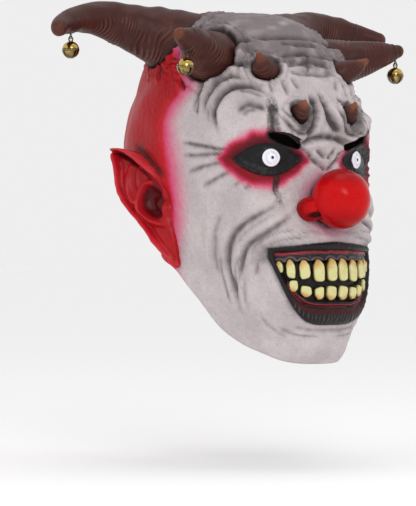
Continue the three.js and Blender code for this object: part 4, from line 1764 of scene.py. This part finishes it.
@dataclass
class BallNose:
    """Round nose with a nostril wing on each side; places are out, ahead and up."""

    material: Material
    wing: tuple[float, float, float] = (19, 124, -162)
    wing_size: tuple[float, float, float] = (10.5, 13, 10)
    wing_blend: float = 1.4
    wing_overlap: float = 0.3
    nostril: tuple[float, float, float] = (21, 133, -168)
    nostril_edge: Ramp = Ramp(5.5, 2.5)
    nostril_depth: float = 4.5
    crease_width: float = 1.6
    crease_depth: float = 0.9
    crease_shade_and_grime: float = 0.55
    dents: Waves = Waves(26, 71, 0.35)
    shade_below: Ramp = Ramp(-2, -20, 0.7)
    shade_above: Ramp = Ramp(4, 22, 0.8)
    shade_behind: Ramp = Ramp(2, 18)
    rows: int = 96
    columns: int = 160
    pole_margin: float = 0.01

    def wing_reach(self, way: Array, side: Side) -> Array:
        """Distance from the ball's centre to the far side of a wing, or 0 beside it.

        Args:
            way: directions from the ball's middle.
            side: side of the head.

        Returns:
            One distance for each direction.
        """
        lobe = mirrored(self.wing, side) - NOSE_CENTRE
        size = np.array(self.wing_size)
        a = np.sum((way / size) ** 2, axis=-1)
        b = np.sum(way * lobe / size**2, axis=-1)
        c = np.sum((lobe / size) ** 2) - 1
        root = b * b - a * c
        return np.where(root > 0, (b + np.sqrt(np.maximum(root, 0))) / a, 0)

    def build(self) -> None:
        """Make the ball and wings as one skin."""
        upright = ball_directions(self.rows, self.columns, self.pole_margin)
        way = np.stack([upright[..., 1], -upright[..., 2], upright[..., 0]], axis=-1)
        reach = NOSE_RADIUS + self.dents.at(way * NOSE_RADIUS)
        crease = np.zeros_like(reach)
        nostril = np.zeros_like(reach)
        for side in Side:
            far = self.wing_reach(way, side)
            crease = np.maximum(crease, bell_curve(reach - far, self.crease_width))
            swell = np.logaddexp(reach / self.wing_blend, far / self.wing_blend) * self.wing_blend
            reach = np.maximum(reach, swell - self.wing_overlap)
            hole = unit(mirrored(self.nostril, side) - NOSE_CENTRE)
            spot = np.arccos(np.clip(way @ hole, -1, 1)) * NOSE_RADIUS
            nostril = np.maximum(nostril, self.nostril_edge.at(spot))
        reach = reach - self.crease_depth * crease - self.nostril_depth * nostril
        offset = way * reach[..., None]
        # painted shade: darker below, over the top and towards the face, and in the nostrils and wing creases
        shaded = np.maximum(self.shade_below.at(offset[..., 2]), self.shade_above.at(offset[..., 2]))
        shaded = np.maximum(shaded, self.shade_behind.at(offset[..., 1]))
        shade_and_grime = np.maximum(nostril, self.crease_shade_and_grime * crease)
        points = (NOSE_CENTRE + offset).reshape(-1, 3)
        faces = capped_faces(self.rows, self.columns, flip=True)
        part = points, faces, {"ridge": shaded.ravel(), "shade_and_grime": shade_and_grime.ravel()}
        closed_piece("ball_nose", part, self.material, "nose")


TOOTH_MARKS = ("root", "shade_and_grime", "gum", "gum_rim", "gum_line")


@dataclass(frozen=True)
class Tooth:
    """Tooth of the left half: place across, width, and its gum and biting heights."""

    out: float
    width: float
    top: float
    bottom: float


@dataclass
class TeethRow:
    """Row of uneven rounded teeth on a gum along the lip; pairs are for the biting end and the root."""

    material: Material
    jaw: Jaw
    teeth: tuple[Tooth, ...]
    gum_height: float
    red_share: float
    red_lines: int
    narrowing: tuple[float, float] = (0.28, 0.62)
    narrowing_power: float = 3.0
    bow: tuple[float, float] = (0.2, 0.5)
    bow_power: float = 2.6
    roundness: float = 0.7
    flatness_across: int = 12
    flatness_along: int = 14
    most_lean: float = 0.5
    most_slant: float = 1.3
    swell_range: tuple[float, float] = (0.92, 1.04)
    dent_wavelength: float = 5.0
    dent_height: float = 0.2
    stain_middle: float = 0.15
    stain_outward: float = 0.3
    unshaded_face: Ramp = Ramp(0.55, 0.95)
    tooth_front: float = -1.2
    gum_back: float = -8.2
    gum_front: float = -3.4
    gum_inset: float = 0.3
    gum_end: float = 1.2
    gum_swell: float = 1.3
    gum_rim: Ridge = Ridge(1.2, 1.1)
    gum_rim_height: float = 0.8
    gum_waver: Waves = Waves(9, 81, 0.05)
    gum_dents: Waves = Waves(4, 83, 0.15)
    across: int = 25
    along: int = 29
    gum_steps: int = 240
    gum_sides: int = 26
    first_seed: int = 20
    seed_per_tooth: int = 10
    seed_per_jaw: int = 5
    dent_seed: int = 100

    @property
    def node(self) -> str:
        """Solid that the row stands for."""
        return f"{self.jaw.name.lower()}_teeth"

    def tooth(self, tooth: Tooth, side: Side, seed: int) -> Part:
        """One tooth as a block with a flat face, soft edges and a slanted biting edge.

        Args:
            tooth: its sizes.
            side: half of the mouth.
            seed: number that fixes its unevenness.

        Returns:
            Points, faces and marks.
        """
        u = np.sin(np.linspace(-1, 1, self.across) * math.pi / 2)[None, :]
        v = np.sin(np.linspace(-1, 1, self.along) * math.pi / 2)[:, None]
        rng = np.random.default_rng(seed)
        lean = rng.uniform(-self.most_lean, self.most_lean)
        slant = rng.uniform(-self.most_slant, self.most_slant)
        swell = rng.uniform(*self.swell_range)
        biting = -v if self.jaw is Jaw.UPPER else v
        narrowing = np.where(biting > 0, *self.narrowing) * np.abs(v) ** self.narrowing_power
        bow = np.where(biting > 0, *self.bow) * np.abs(u) ** self.bow_power
        out = side.value * tooth.out + tooth.width / 2 * u * (1 - narrowing) ** self.roundness + lean * v
        z = (tooth.top + tooth.bottom) / 2 + (tooth.top - tooth.bottom) / 2 * v * (1 - bow) ** self.roundness
        z = z + slant * u * np.clip(biting, 0, 1)
        dome = np.sqrt(1 - u**self.flatness_across) * np.sqrt(1 - v**self.flatness_along)
        points = HEAD.on_face(out, z, self.gum_back + (self.tooth_front - self.gum_back) * dome * swell)
        dents = Waves(self.dent_wavelength, seed + self.dent_seed, self.dent_height).at(points)
        points = points - dents[..., None] * BACKWARD
        marks = dict.fromkeys(TOOTH_MARKS, np.zeros(dome.size))
        stain = self.stain_middle - biting + self.stain_outward * side.value * u
        marks["root"] = np.clip(stain, 0, 1).ravel()
        # painted shade round the edges of each tooth, where it turns back
        marks["shade_and_grime"] = 1 - self.unshaded_face.at(dome).ravel()
        faces = grid_faces(self.along, self.across, False).tolist()
        faces.append(border_loop(self.along, self.across))
        return points.reshape(-1, 3), faces, marks

    def gum(self) -> Part:
        """Gum from the lip to the roots: red swellings along the lip, and a rim round each tooth.

        Returns:
            Points, faces and marks.
        """
        last = self.teeth[-1]
        reach = last.out + last.width / 2 + self.gum_end
        out = np.linspace(-reach, reach, self.gum_steps)[:, None]
        down = np.linspace(0, 1, self.gum_sides)[None, :]
        toward = self.jaw.value
        edge = MOUTH.upper(out) if self.jaw is Jaw.UPPER else MOUTH.lower(out)
        z = edge + toward * (self.gum_inset + self.gum_height * down)
        out = out + 0 * z
        rim = np.zeros_like(z)
        for tooth in self.teeth:
            root = tooth.top if self.jaw is Jaw.UPPER else tooth.bottom
            half = tooth.width / 2
            away = np.hypot(np.abs(out) - tooth.out, z - root - toward * half) - half
            rim = np.maximum(rim, self.gum_rim.at(away))
        place = np.stack([out, 0 * z, z], axis=-1)
        share = np.clip((down + self.gum_waver.at(place)) / self.red_share, 0, 1)
        swell = np.abs(np.sin(math.pi * self.red_lines * share)) * (share < 1)
        lift = self.gum_front + self.gum_swell * swell + self.gum_rim_height * rim * (share >= 1)
        lift = lift + self.gum_dents.at(place)
        out, z, lift, swell, rim = (
            np.concatenate([values, values[:, -1:], values[:, :1]], axis=1)
            for values in (out, z, lift, swell, rim))
        lift[:, self.gum_sides:] = self.gum_back
        points = HEAD.on_face(out, z, lift)
        marks = dict.fromkeys(TOOTH_MARKS, np.zeros(z.size))
        # the raised rim round each tooth carries a painted highlight in grey
        marks |= {"gum": np.ones(z.size), "gum_rim": rim.ravel(), "gum_line": swell.ravel()}
        return points.reshape(-1, 3), capped_faces(*z.shape), marks

    def build(self) -> None:
        """Join the teeth to their gum."""
        parts = [self.gum()]
        for number, tooth in enumerate(self.teeth):
            for side in Side:
                seed = self.first_seed + self.seed_per_tooth * number + self.seed_per_jaw * self.jaw.value
                parts.append(self.tooth(tooth, side, seed + side.value))
        closed_piece(f"{self.node}_row", join_parts(parts), self.material, self.node)


UPPER_TEETH = (
    Tooth(6, 10.2, -200.5, -219.8), Tooth(18.7, 10.5, -201.5, -220.3), Tooth(30.5, 8.7, -202, -218),
    Tooth(40.3, 6.1, -201.5, -217.5), Tooth(47, 4, -203, -213),
)
LOWER_TEETH = (
    Tooth(6.5, 10.3, -223, -235), Tooth(18, 8.6, -224, -234.5), Tooth(29, 8.8, -223, -232.5),
    Tooth(38.2, 6, -218.5, -228.5),
)


@dataclass(frozen=True)
class EarRidge:
    """Raised fold of the ear: places ahead and heights along it, half width and rise."""

    points: Line
    width: float
    rise: float


@dataclass
class Ear:
    """Pointed ear: a cupped leaf with a rolled rim, an inner ridge and a deep bowl.

    Each line runs across the leaf and gives ahead, up and out of its front end and then of its rim.
    """

    material: Material
    side: Side
    lines: tuple[tuple[float, float, float, float, float, float], ...] = (
        (-36, -110, 96.5, -40, -110.5, 97), (-24, -111.5, 95, -37, -117, 97.5),
        (-7, -120, 91.5, -32, -128, 98), (11, -133, 88.5, -28, -145, 98), (21, -149, 87, -18, -158.5, 97),
        (26, -167, 85, -4, -171.5, 94), (29, -186, 82, 10, -189, 88), (30, -206, 77, 25, -209.5, 78.5),
    )
    ridges: tuple[EarRidge, ...] = (
        EarRidge(((6, -137), (-3, -142), (-7, -150), (-6, -161), (3, -169), (13, -173), (21, -174)),
                 2.6, 5.0),
        EarRidge(((-16, -122), (-20, -136), (-17, -149), (-9, -158)), 2.2, 3.2),
        EarRidge(((-8, -124), (-11, -134), (-9, -144)), 1.8, 2.6),
    )
    ridge_taper: Ramp = Ramp(0.0, 0.15)
    cup_depth: float = 5.5
    cup_from: Ramp = Ramp(0.0, 1.4)
    cup_to: Ramp = Ramp(7.0, 5.8)
    helix_from: Ramp = Ramp(0.1, 0.7)
    helix_to: Ramp = Ramp(4.0, 3.0)
    helix: Ridge = Ridge(2.6, 3.0, 4.2)
    helix_groove: Ridge = Ridge(8.5, 2.6, -3.2)
    rim: Ridge = Ridge(1.2, 1.6, 2.8)
    rim_groove: Ridge = Ridge(4.8, 2.0, -1.8)
    bowl: Form = Form(6, -155, 11.0, 12.5, 1.0)
    bowl_depth: float = 7.5
    bowl_from: Ramp = Ramp(2.6, 3.4)
    bowl_swelling: Form = Form(9, -157, 3.6, 4.5, 5.0)
    tragus: Form = Form(20, -160, 5.0, 5.0, 4.0)
    lobe: Form = Form(15, -188, 8.0, 8.0, 3.0)
    proud: float = 1.0
    sink_edge: Ramp = Ramp(0.24, 0.0, -9.0)
    sink_from: Ramp = Ramp(2.5, 3.6)
    dents: Waves = Waves(9, 91, 0.3)
    thickness: float = 4.0
    thinnest: float = 0.25
    back_relief: float = 0.55
    root_edge: Ramp = Ramp(0.42, 0.0, 22.0)
    root_from: Ramp = Ramp(0.6, 2.0)
    ridge_paint: Ramp = Ramp(-3.0, 3.0)
    ridge_paint_behind: float = 0.3
    hollow_shade: Ramp = Ramp(-1.5, -7.5, 0.95)
    hollow_shade_from: Ramp = Ramp(0.1, 0.24)
    rows: int = 130
    columns: int = 70

    def relief(self, row: Array, share: Array, leaf: Array) -> Array:
        """Height of the ear's folds above its flat leaf.

        Args:
            row: fractional number of the line along the ear.
            share: place from the front edge to the outer rim.
            leaf: points of the flat leaf.

        Returns:
            Heights.
        """
        ahead, z = -leaf[..., 1], leaf[..., 2]
        chord = np.linalg.norm(leaf[:, -1] - leaf[:, 0], axis=-1)[:, None]
        from_front, from_rim = share * chord, (1 - share) * chord
        cupped = self.cup_from.at(row) * self.cup_to.at(row)
        rolled = self.helix_from.at(row) * self.helix_to.at(row)
        height = self.proud - self.cup_depth * np.sin(math.pi * share) * cupped
        height = height + rolled * (self.helix.at(from_front) + self.helix_groove.at(from_front))
        height = height + cupped * (self.rim.at(from_rim) + self.rim_groove.at(from_rim))
        for ridge in self.ridges:
            away, along, _ = curve_distance(ahead, z, ridge.points)
            taper = self.ridge_taper.at(along) * self.ridge_taper.at(1 - along)
            height = height + ridge.rise * taper * bell_curve(away, ridge.width)
        bowl_distance = ((ahead - self.bowl.out) / self.bowl.across) ** 2
        bowl_distance = bowl_distance + ((z - self.bowl.z) / self.bowl.along) ** 2
        in_bowl = self.bowl_swelling.at(ahead, z) - self.bowl_depth * np.exp(-bowl_distance**2)
        height = height + in_bowl * self.bowl_from.at(row)
        height = height + self.tragus.at(ahead, z) + self.lobe.at(ahead, z)
        return height + self.sink_edge.at(share) * self.sink_from.at(row)

    def build(self) -> None:
        """Make both faces of the ear and its edge."""
        row = np.linspace(0, len(self.lines) - 1, self.rows)[:, None]
        share = ((1 - np.cos(np.linspace(0, 1, self.columns) * math.pi)) / 2)[None, :]
        line = spline(np.array(self.lines, float), row[:, 0])
        front, edge = (
            np.stack([out, -ahead, up], axis=1)[:, None, :]
            for ahead, up, out in (line[:, :3].T, line[:, 3:].T))
        leaf = front * (1 - share[..., None]) + edge * share[..., None]
        normal = unit(np.cross(np.gradient(leaf, axis=1), np.gradient(leaf, axis=0)))
        normal = unit((normal * np.sign(normal[..., :1] + TINY)).mean(axis=(0, 1)))
        height = self.relief(row, share, leaf)
        face = leaf + normal * height[..., None]
        face = face + self.dents.at(face)[..., None] * normal
        thick = np.sqrt(np.maximum(np.sin(math.pi * share), 0))
        thick = self.thickness * (self.thinnest + (1 - self.thinnest) * thick)
        back = leaf + normal * (np.where(height < 0, height, self.back_relief * height) - thick)[..., None]
        root = self.root_edge.at(share) * self.root_from.at(row)
        back = back - LEFTWARD * root[..., None]
        points = np.concatenate([face.reshape(-1, 3), back.reshape(-1, 3)])
        points[:, 0] *= self.side.value
        count = self.rows * self.columns
        faces = grid_faces(self.rows, self.columns, False).tolist()
        faces += (grid_faces(self.rows, self.columns, False, flip=True) + count).tolist()
        loop = border_loop(self.rows, self.columns)
        faces += [[a, b, b + count, a + count] for a, b in zip(loop, loop[1:] + loop[:1])]
        # painted shade deep in the bowl and grooves, and a painted highlight that rises with the relief
        deep = self.hollow_shade.at(height) * self.hollow_shade_from.at(share)
        ridge = self.ridge_paint.at(height)
        marks = {
            "ridge": np.concatenate([ridge.ravel(), np.full(count, self.ridge_paint_behind)]),
            "shade_and_grime": np.concatenate([deep.ravel(), np.zeros(count)]),
        }
        node = f"ear_{self.side.label}"
        closed_piece(f"{node}_leaf", (points, faces, marks), self.material, node)


@dataclass
class Horn:
    """Horn or spike swept along its path, with folds that run round it."""

    material: Material
    name: str
    shape: HornShape
    side: Side
    rings: int
    sides: int
    fold_mm: float
    fold_depth: float
    tip_start: float
    tip_cover: float
    seed: int
    under_folds: bool = True
    fold_waver: float = 0.7
    fold_crest: Ramp = Ramp(0.35, 0.95)
    fold_valley: Ramp = Ramp(0.2, -0.9)
    valley_depth: float = 0.5
    underside: Ramp = Ramp(0.45, -0.4, low=0.12)
    fold_to: Ramp = Ramp(0.95, 0.6)
    full_fold_radius: float = 8.0
    patch_middle: float = 0.45
    patch_swing: float = 0.8
    dent_height: float = 0.4
    full_dent_radius: float = 10.0
    wander_mm: float = 30.0
    patch_mm: float = 20.0
    dent_mm: float = 16.0
    seam_depth: float = 1.6
    seam_spread: float = 4.0
    seam_shade_and_grime: float = 0.85
    valley_shade_and_grime: float = 0.9
    ridge_paint: float = 0.32
    ridge_paint_crest: float = 0.75
    ridge_paint_swing: float = 0.16
    nub_rings: int = 10
    nub_least: float = 0.02

    def sweep(self) -> tuple[Array, Array, Array]:
        """Path with a rounded end, the directions round it and its radius.

        Returns:
            Path points, directions by ring and side, and radii.
        """
        path, radius = self.shape.along(self.side, self.rings)
        along = unit(np.gradient(path, axis=0))
        across = unit(np.cross(along, UPWARD))
        ring = rings(across, np.cross(across, along), self.sides)
        bend = np.linspace(0, math.pi / 2, self.nub_rings + 1)[1:]
        nub = path[-1] + along[-1] * (radius[-1] * np.sin(bend))[:, None]
        nub_radius = radius[-1] * np.maximum(np.cos(bend), self.nub_least)
        return (
            np.concatenate([path, nub]),
            np.concatenate([ring, np.repeat(ring[-1:], self.nub_rings, axis=0)]),
            np.concatenate([radius, nub_radius]),
        )

    def bare(self, points: Array) -> tuple[Array, Array]:
        """Pull what lies deep in the head up to just under its skin.

        Args:
            points: points of the horn.

        Returns:
            New points, and how deep each was below the skin.
        """
        depth = HEAD.depth_below(points)
        level = points + HEAD.axis_ahead * BACKWARD
        level[:, 2] = 0
        return points + unit(level) * np.maximum(depth - self.seam_depth, 0)[:, None], depth

    def build(self) -> None:
        """Sweep the horn and close its rounded tip."""
        path, ring, radius = self.sweep()
        travelled = np.concatenate([[0], np.cumsum(np.linalg.norm(np.diff(path, axis=0), axis=1))])[:, None]
        share = travelled / travelled[-1]
        points = path[:, None, :] + ring * radius[:, None, None]
        wander = Waves(self.wander_mm, self.seed).at(points)
        patches = Waves(self.patch_mm, self.seed + 1, self.patch_swing).at(points)
        dents = Waves(self.dent_mm, self.seed + 2, self.dent_height).at(points)
        wave = np.sin((travelled / self.fold_mm + self.fold_waver * wander) * FULL_TURN)
        fold = self.fold_crest.at(wave) - self.valley_depth * self.fold_valley.at(wave)
        amount = np.clip(self.patch_middle + patches, 0, 1) * self.fold_to.at(share)
        amount = amount * np.minimum(radius / self.full_fold_radius, 1)[:, None]
        if self.under_folds:
            turn = np.linspace(0, FULL_TURN, self.sides, endpoint=False)
            amount = amount * self.underside.at(np.sin(turn))
        lift = dents * np.minimum(radius / self.full_dent_radius, 1)[:, None]
        lift = lift + self.fold_depth * fold * amount
        points, depth = self.bare((points + ring * lift[..., None]).reshape(-1, 3))
        seam = bell_curve(np.minimum(depth, 0).reshape(wander.shape), self.seam_spread)
        # lighter on the fold crests, as rubbed-back paint and a painted highlight; painted shade in the
        # valleys and where the horn meets the skin
        ridge = self.ridge_paint + self.ridge_paint_swing * wander
        ridge = ridge + self.ridge_paint_crest * np.clip(fold, 0, 1) * amount
        shade_and_grime = self.valley_shade_and_grime * np.clip(-fold, 0, 1) * amount
        tip = self.tip_cover * smoothstep(self.tip_start, 1, share) + 0 * wander
        marks = {
            "ridge": np.clip(ridge, 0, 1).ravel(),
            "shade_and_grime": np.maximum(shade_and_grime, self.seam_shade_and_grime * seam).ravel(),
            "tip": tip.ravel(),
        }
        node = f"{self.name}_{self.side.label}"
        part = points, capped_faces(len(path), self.sides), marks
        closed_piece(f"{node}_skin", part, self.material, node)


# Bells and their ties


@dataclass
class BellOnTie:
    """Round slotted bell that hangs on a thread tied round a horn near its tip."""

    black: Material
    brass: Material
    horn: str
    shape: HornShape
    side: Side
    station: float
    stations: int = 400
    heading_reach: int = 5
    thread: float = 0.7
    hoop_sink: float = 1.1
    hoop_steps: int = 96
    loop: float = 1.5
    loop_drop: float = 0.4
    loop_steps: int = 40
    knot_size: float = 0.75
    knot_rise: float = 0.2
    knot_steps: int = 24
    knot_sides: int = 10
    thread_sides: int = 12
    gap: float = 0.35
    ring_radius: float = 1.9
    ring_steps: int = 40
    wire: float = 0.6
    wire_sides: int = 14
    bell_radius: float = 7.3
    bell_wall: float = 0.9
    bell_overlap: float = 0.6
    slot_half: float = 0.75
    slot_top: float = -1.2
    seam: Ridge = Ridge(0.0, 0.55, 0.22)
    slot_dirt_and_shade_spread: float = 1.2
    slot_dirt_and_shade_below: Ramp = Ramp(0.5, -1.5)
    seam_dirt_and_shade: Ridge = Ridge(0.7, 0.5)
    low_dirt_and_shade: Ramp = Ramp(0.2, -0.9, 0.6)
    rows: int = 64
    columns: int = 96
    pole_margin: float = 0.02

    def places(self) -> tuple[Array, Array, float, Array]:
        """Middle and direction of the hoop, its radius and its lowest point.

        Returns:
            Centre, direction, radius and low point.
        """
        path, radius = self.shape.along(self.side, self.stations + 1)
        index = round(self.station * self.stations)
        along = unit(path[min(index + self.heading_reach, self.stations)] - path[index - self.heading_reach])
        hoop = radius[index] + self.gap + self.thread
        down = unit(along * along[2] - UPWARD)
        return path[index], along, hoop, path[index] + down * hoop

    @property
    def loop_centre(self) -> Array:
        """Middle of the loop that holds the bell."""
        *_, low = self.places()
        return low - (self.loop + self.loop_drop * self.thread) * UPWARD

    def build_tie(self) -> None:
        """A turn of thread round the horn, a knot and the loop that holds the bell."""
        centre, along, hoop, low = self.places()
        down = (low - centre) / hoop
        across = np.cross(along, down)
        strand = self.thread / 2
        sunk = hoop - self.gap - self.hoop_sink * self.thread
        hoop_path = circle(centre, down, across, sunk, self.hoop_steps)
        loop_path = circle(self.loop_centre, UPWARD, BACKWARD, self.loop, self.loop_steps)
        parts = [thread(path, strand, self.thread_sides) for path in (hoop_path, loop_path)]
        knot = low - down * self.knot_rise
        for first, second in ((along, down), (across, down), (along, across)):
            turn = circle(knot, first, second, self.thread * self.knot_size, self.knot_steps)
            parts.append(thread(turn, strand, self.knot_sides))
        node = f"tie_{self.horn}_{self.side.label}"
        closed_piece(f"{node}_thread", join_parts(parts), self.black, node)

    def cut_ball(self) -> tuple[Array, list[list[int]], list[tuple[int, int]]]:
        """Ball with two crossed slots in its lower half.

        Returns:
            Unit directions, faces, and the edges of the holes.
        """
        way = ball_directions(self.rows, self.columns, self.pole_margin).reshape(-1, 3)
        faces = grid_faces(self.rows, self.columns, True)
        middle = way[faces].mean(axis=1) * self.bell_radius
        in_slot = np.min(np.abs(middle[:, :2]), axis=1) < self.slot_half
        kept = faces[~(in_slot & (middle[:, 2] < self.slot_top))].tolist()
        edges = {(a, b) for face in kept for a, b in zip(face, face[1:] + face[:1])}
        border = [(a, b) for a, b in edges if (b, a) not in edges]
        for k in {corner for edge in border for corner in edge}:
            spot = way[k] * self.bell_radius
            if spot[2] <= 0:
                axis = int(np.argmin(np.abs(np.abs(spot[:2]) - self.slot_half)))
                spot[axis] = math.copysign(self.slot_half, spot[axis])
                way[k] = unit(spot)
        return way, kept, border

    def build_bell(self) -> None:
        """Hollow slotted ball with a seam round its middle and a wire ring on top."""
        hang = self.loop + self.ring_radius - self.thread - self.wire - self.gap
        ring_centre = self.loop_centre - hang * UPWARD
        drop = self.ring_radius + self.bell_radius - self.bell_overlap * self.bell_wall
        centre = ring_centre - drop * UPWARD
        way, kept, border = self.cut_ball()
        count = len(way)
        up = way[:, 2] * self.bell_radius
        shell = way * (self.bell_radius - self.seam.height + self.seam.at(up))[:, None]
        inside = way * (self.bell_radius - self.bell_wall)
        faces = kept + [[corner + count for corner in face[::-1]] for face in kept]
        faces += [[b, a, a + count, b + count] for a, b in border]
        # painted shade with some staining: darker by the slots, along the seam and over the lower half, and
        # all over the ball's inside and the wire ring
        from_slot = np.min(np.abs(way[:, :2]), axis=1) * self.bell_radius - self.slot_half
        by_slot = bell_curve(np.maximum(from_slot, 0), self.slot_dirt_and_shade_spread) * self.slot_dirt_and_shade_below.at(up)
        by_seam = self.seam_dirt_and_shade.at(np.abs(up))
        tarnish_and_shade = np.maximum(np.maximum(by_slot, by_seam), self.low_dirt_and_shade.at(way[:, 2]))
        ball = np.concatenate([shell, inside]) + centre
        ring_path = circle(ring_centre, LEFTWARD, UPWARD, self.ring_radius, self.ring_steps)
        ring_points, ring_faces, _ = thread(ring_path, self.wire, self.wire_sides)
        part = join_parts([
            (ball, faces, {"tarnish_and_shade": np.concatenate([tarnish_and_shade, np.ones(count)])}),
            (ring_points, ring_faces, {"tarnish_and_shade": np.ones(len(ring_points))}),
        ])
        node = f"bell_{self.horn}_{self.side.label}"
        closed_piece(f"{node}_ball", part, self.brass, node)


# Studio


@dataclass
class Studio:
    """Pale floor, soft light and the camera at the photograph's angle."""

    floor_z: float = -372.0
    floor_half: float = 30000.0
    floor_colour: str = "#ffffff"
    floor_roughness: float = 0.9
    lit_point: tuple[float, float, float] = (0, -20, -140)
    world_colour: str = "#ffffff"
    world_light: float = 0.86
    azimuth: float = -38.0
    distance: float = 2200.0
    target: tuple[float, float, float] = (-15.9, 12.4, -197.0)
    framed_mm: float = 425.0
    sensor_mm: float = 36.0

    def build(self) -> None:
        """Make the floor, lights, world and camera."""
        self.floor()
        self.lights()
        self.camera()

    def floor(self) -> None:
        """Lay a large matt floor that takes a soft shadow."""
        corners = [(x, y, self.floor_z / self.floor_half) for x, y in ((-1, -1), (1, -1), (1, 1), (-1, 1))]
        floor = mesh_object("studio_floor", np.array(corners) * self.floor_half, [[0, 1, 2, 3]])
        paper, tree = new_finish("matt_studio_paper")
        shader = add_node(tree, "ShaderNodeBsdfPrincipled", None, {
            "Base Color": linear(self.floor_colour), "Roughness": self.floor_roughness})
        add_node(tree, "ShaderNodeOutputMaterial", None, {"Surface": shader.outputs[0]})
        floor.data.materials.append(paper)

    def lights(self) -> None:
        """Hang the softboxes in a pale world."""
        scene = bpy.context.scene
        for name, place, size, power in (
                ("key_softbox", (-700, -1400, 600), 600, 6.5),
                ("fill_softbox", (-1500, 200, 200), 1000, 0.8),
                ("top_softbox", (100, -100, 1300), 900, 2.0)):
            lamp = bpy.data.lights.new(name, "AREA")
            lamp.shape = "DISK"
            lamp.size = size * MM
            lamp.energy = power
            rig = bpy.data.objects.new(name, lamp)
            rig.location = Vector(place) * MM
            aim = Vector(self.lit_point) * MM - rig.location
            rig.rotation_euler = aim.to_track_quat("-Z", "Y").to_euler()
            scene.collection.objects.link(rig)
        scene.world = bpy.data.worlds.new("white_studio")
        scene.world.use_nodes = True
        tree = scene.world.node_tree
        tree.nodes.clear()
        glow = add_node(tree, "ShaderNodeBackground", None, {
            "Color": linear(self.world_colour), "Strength": self.world_light})
        add_node(tree, "ShaderNodeOutputWorld", None, {"Surface": glow.outputs[0]})
        scene.view_settings.view_transform = "Standard"

    def camera(self) -> None:
        """Set the camera level with the face, turned to its right side."""
        lens = bpy.data.cameras.new("photo_camera")
        lens.sensor_width = self.sensor_mm
        lens.lens = self.sensor_mm * self.distance / self.framed_mm
        camera = bpy.data.objects.new("photo_camera", lens)
        turn = math.radians(self.azimuth)
        back = Vector((math.sin(turn), -math.cos(turn), 0))
        camera.location = (Vector(self.target) + self.distance * back) * MM
        camera.rotation_euler = (math.pi / 2, 0, turn)
        bpy.context.scene.collection.objects.link(camera)
        bpy.context.scene.camera = camera


def main() -> None:
    """Dress the frame with every piece and set the studio."""
    logging.basicConfig(level=logging.INFO, format="%(name)s: %(message)s")
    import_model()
    HoodAndFace(SKIN_LATEX.material()).build()
    BallNose(NOSE_LATEX.material()).build()
    cream = TOOTH_LATEX.material()
    TeethRow(cream, Jaw.UPPER, UPPER_TEETH, gum_height=9, red_share=0.5, red_lines=1).build()
    TeethRow(cream, Jaw.LOWER, LOWER_TEETH, gum_height=5, red_share=0.85, red_lines=2).build()
    red = EAR_LATEX.material()
    brown = HORN_LATEX.material()
    brass = PolishedBrass().material()
    black = WaxedThread().material()
    for side in Side:
        Ear(red, side).build()
        Horn(brown, "back_horn", BACK_HORN, side, rings=260, sides=96, fold_mm=4.2, fold_depth=0.55,
             tip_start=0.93, tip_cover=0.35, seed=110).build()
        Horn(brown, "front_horn", FRONT_HORN, side, rings=200, sides=96, fold_mm=3.2, fold_depth=0.4,
             under_folds=False, tip_start=0.9, tip_cover=0.45, seed=120).build()
        Horn(brown, "crown_spike", CROWN_SPIKE, side, rings=60, sides=40, fold_mm=4.0, fold_depth=0.2,
             tip_start=0.6, tip_cover=0.55, seed=130).build()
        Horn(brown, "brow_spike", BROW_SPIKE, side, rings=60, sides=40, fold_mm=4.0, fold_depth=0.2,
             tip_start=0.6, tip_cover=0.75, seed=140).build()
        for horn, shape, ties in (("back", BACK_HORN, BACK_TIE), ("front", FRONT_HORN, FRONT_TIE)):
            bell = BellOnTie(black, brass, horn, shape, side, ties[side])
            bell.build_tie()
            bell.build_bell()
    Studio().build()


if __name__ == "__main__":
    main()
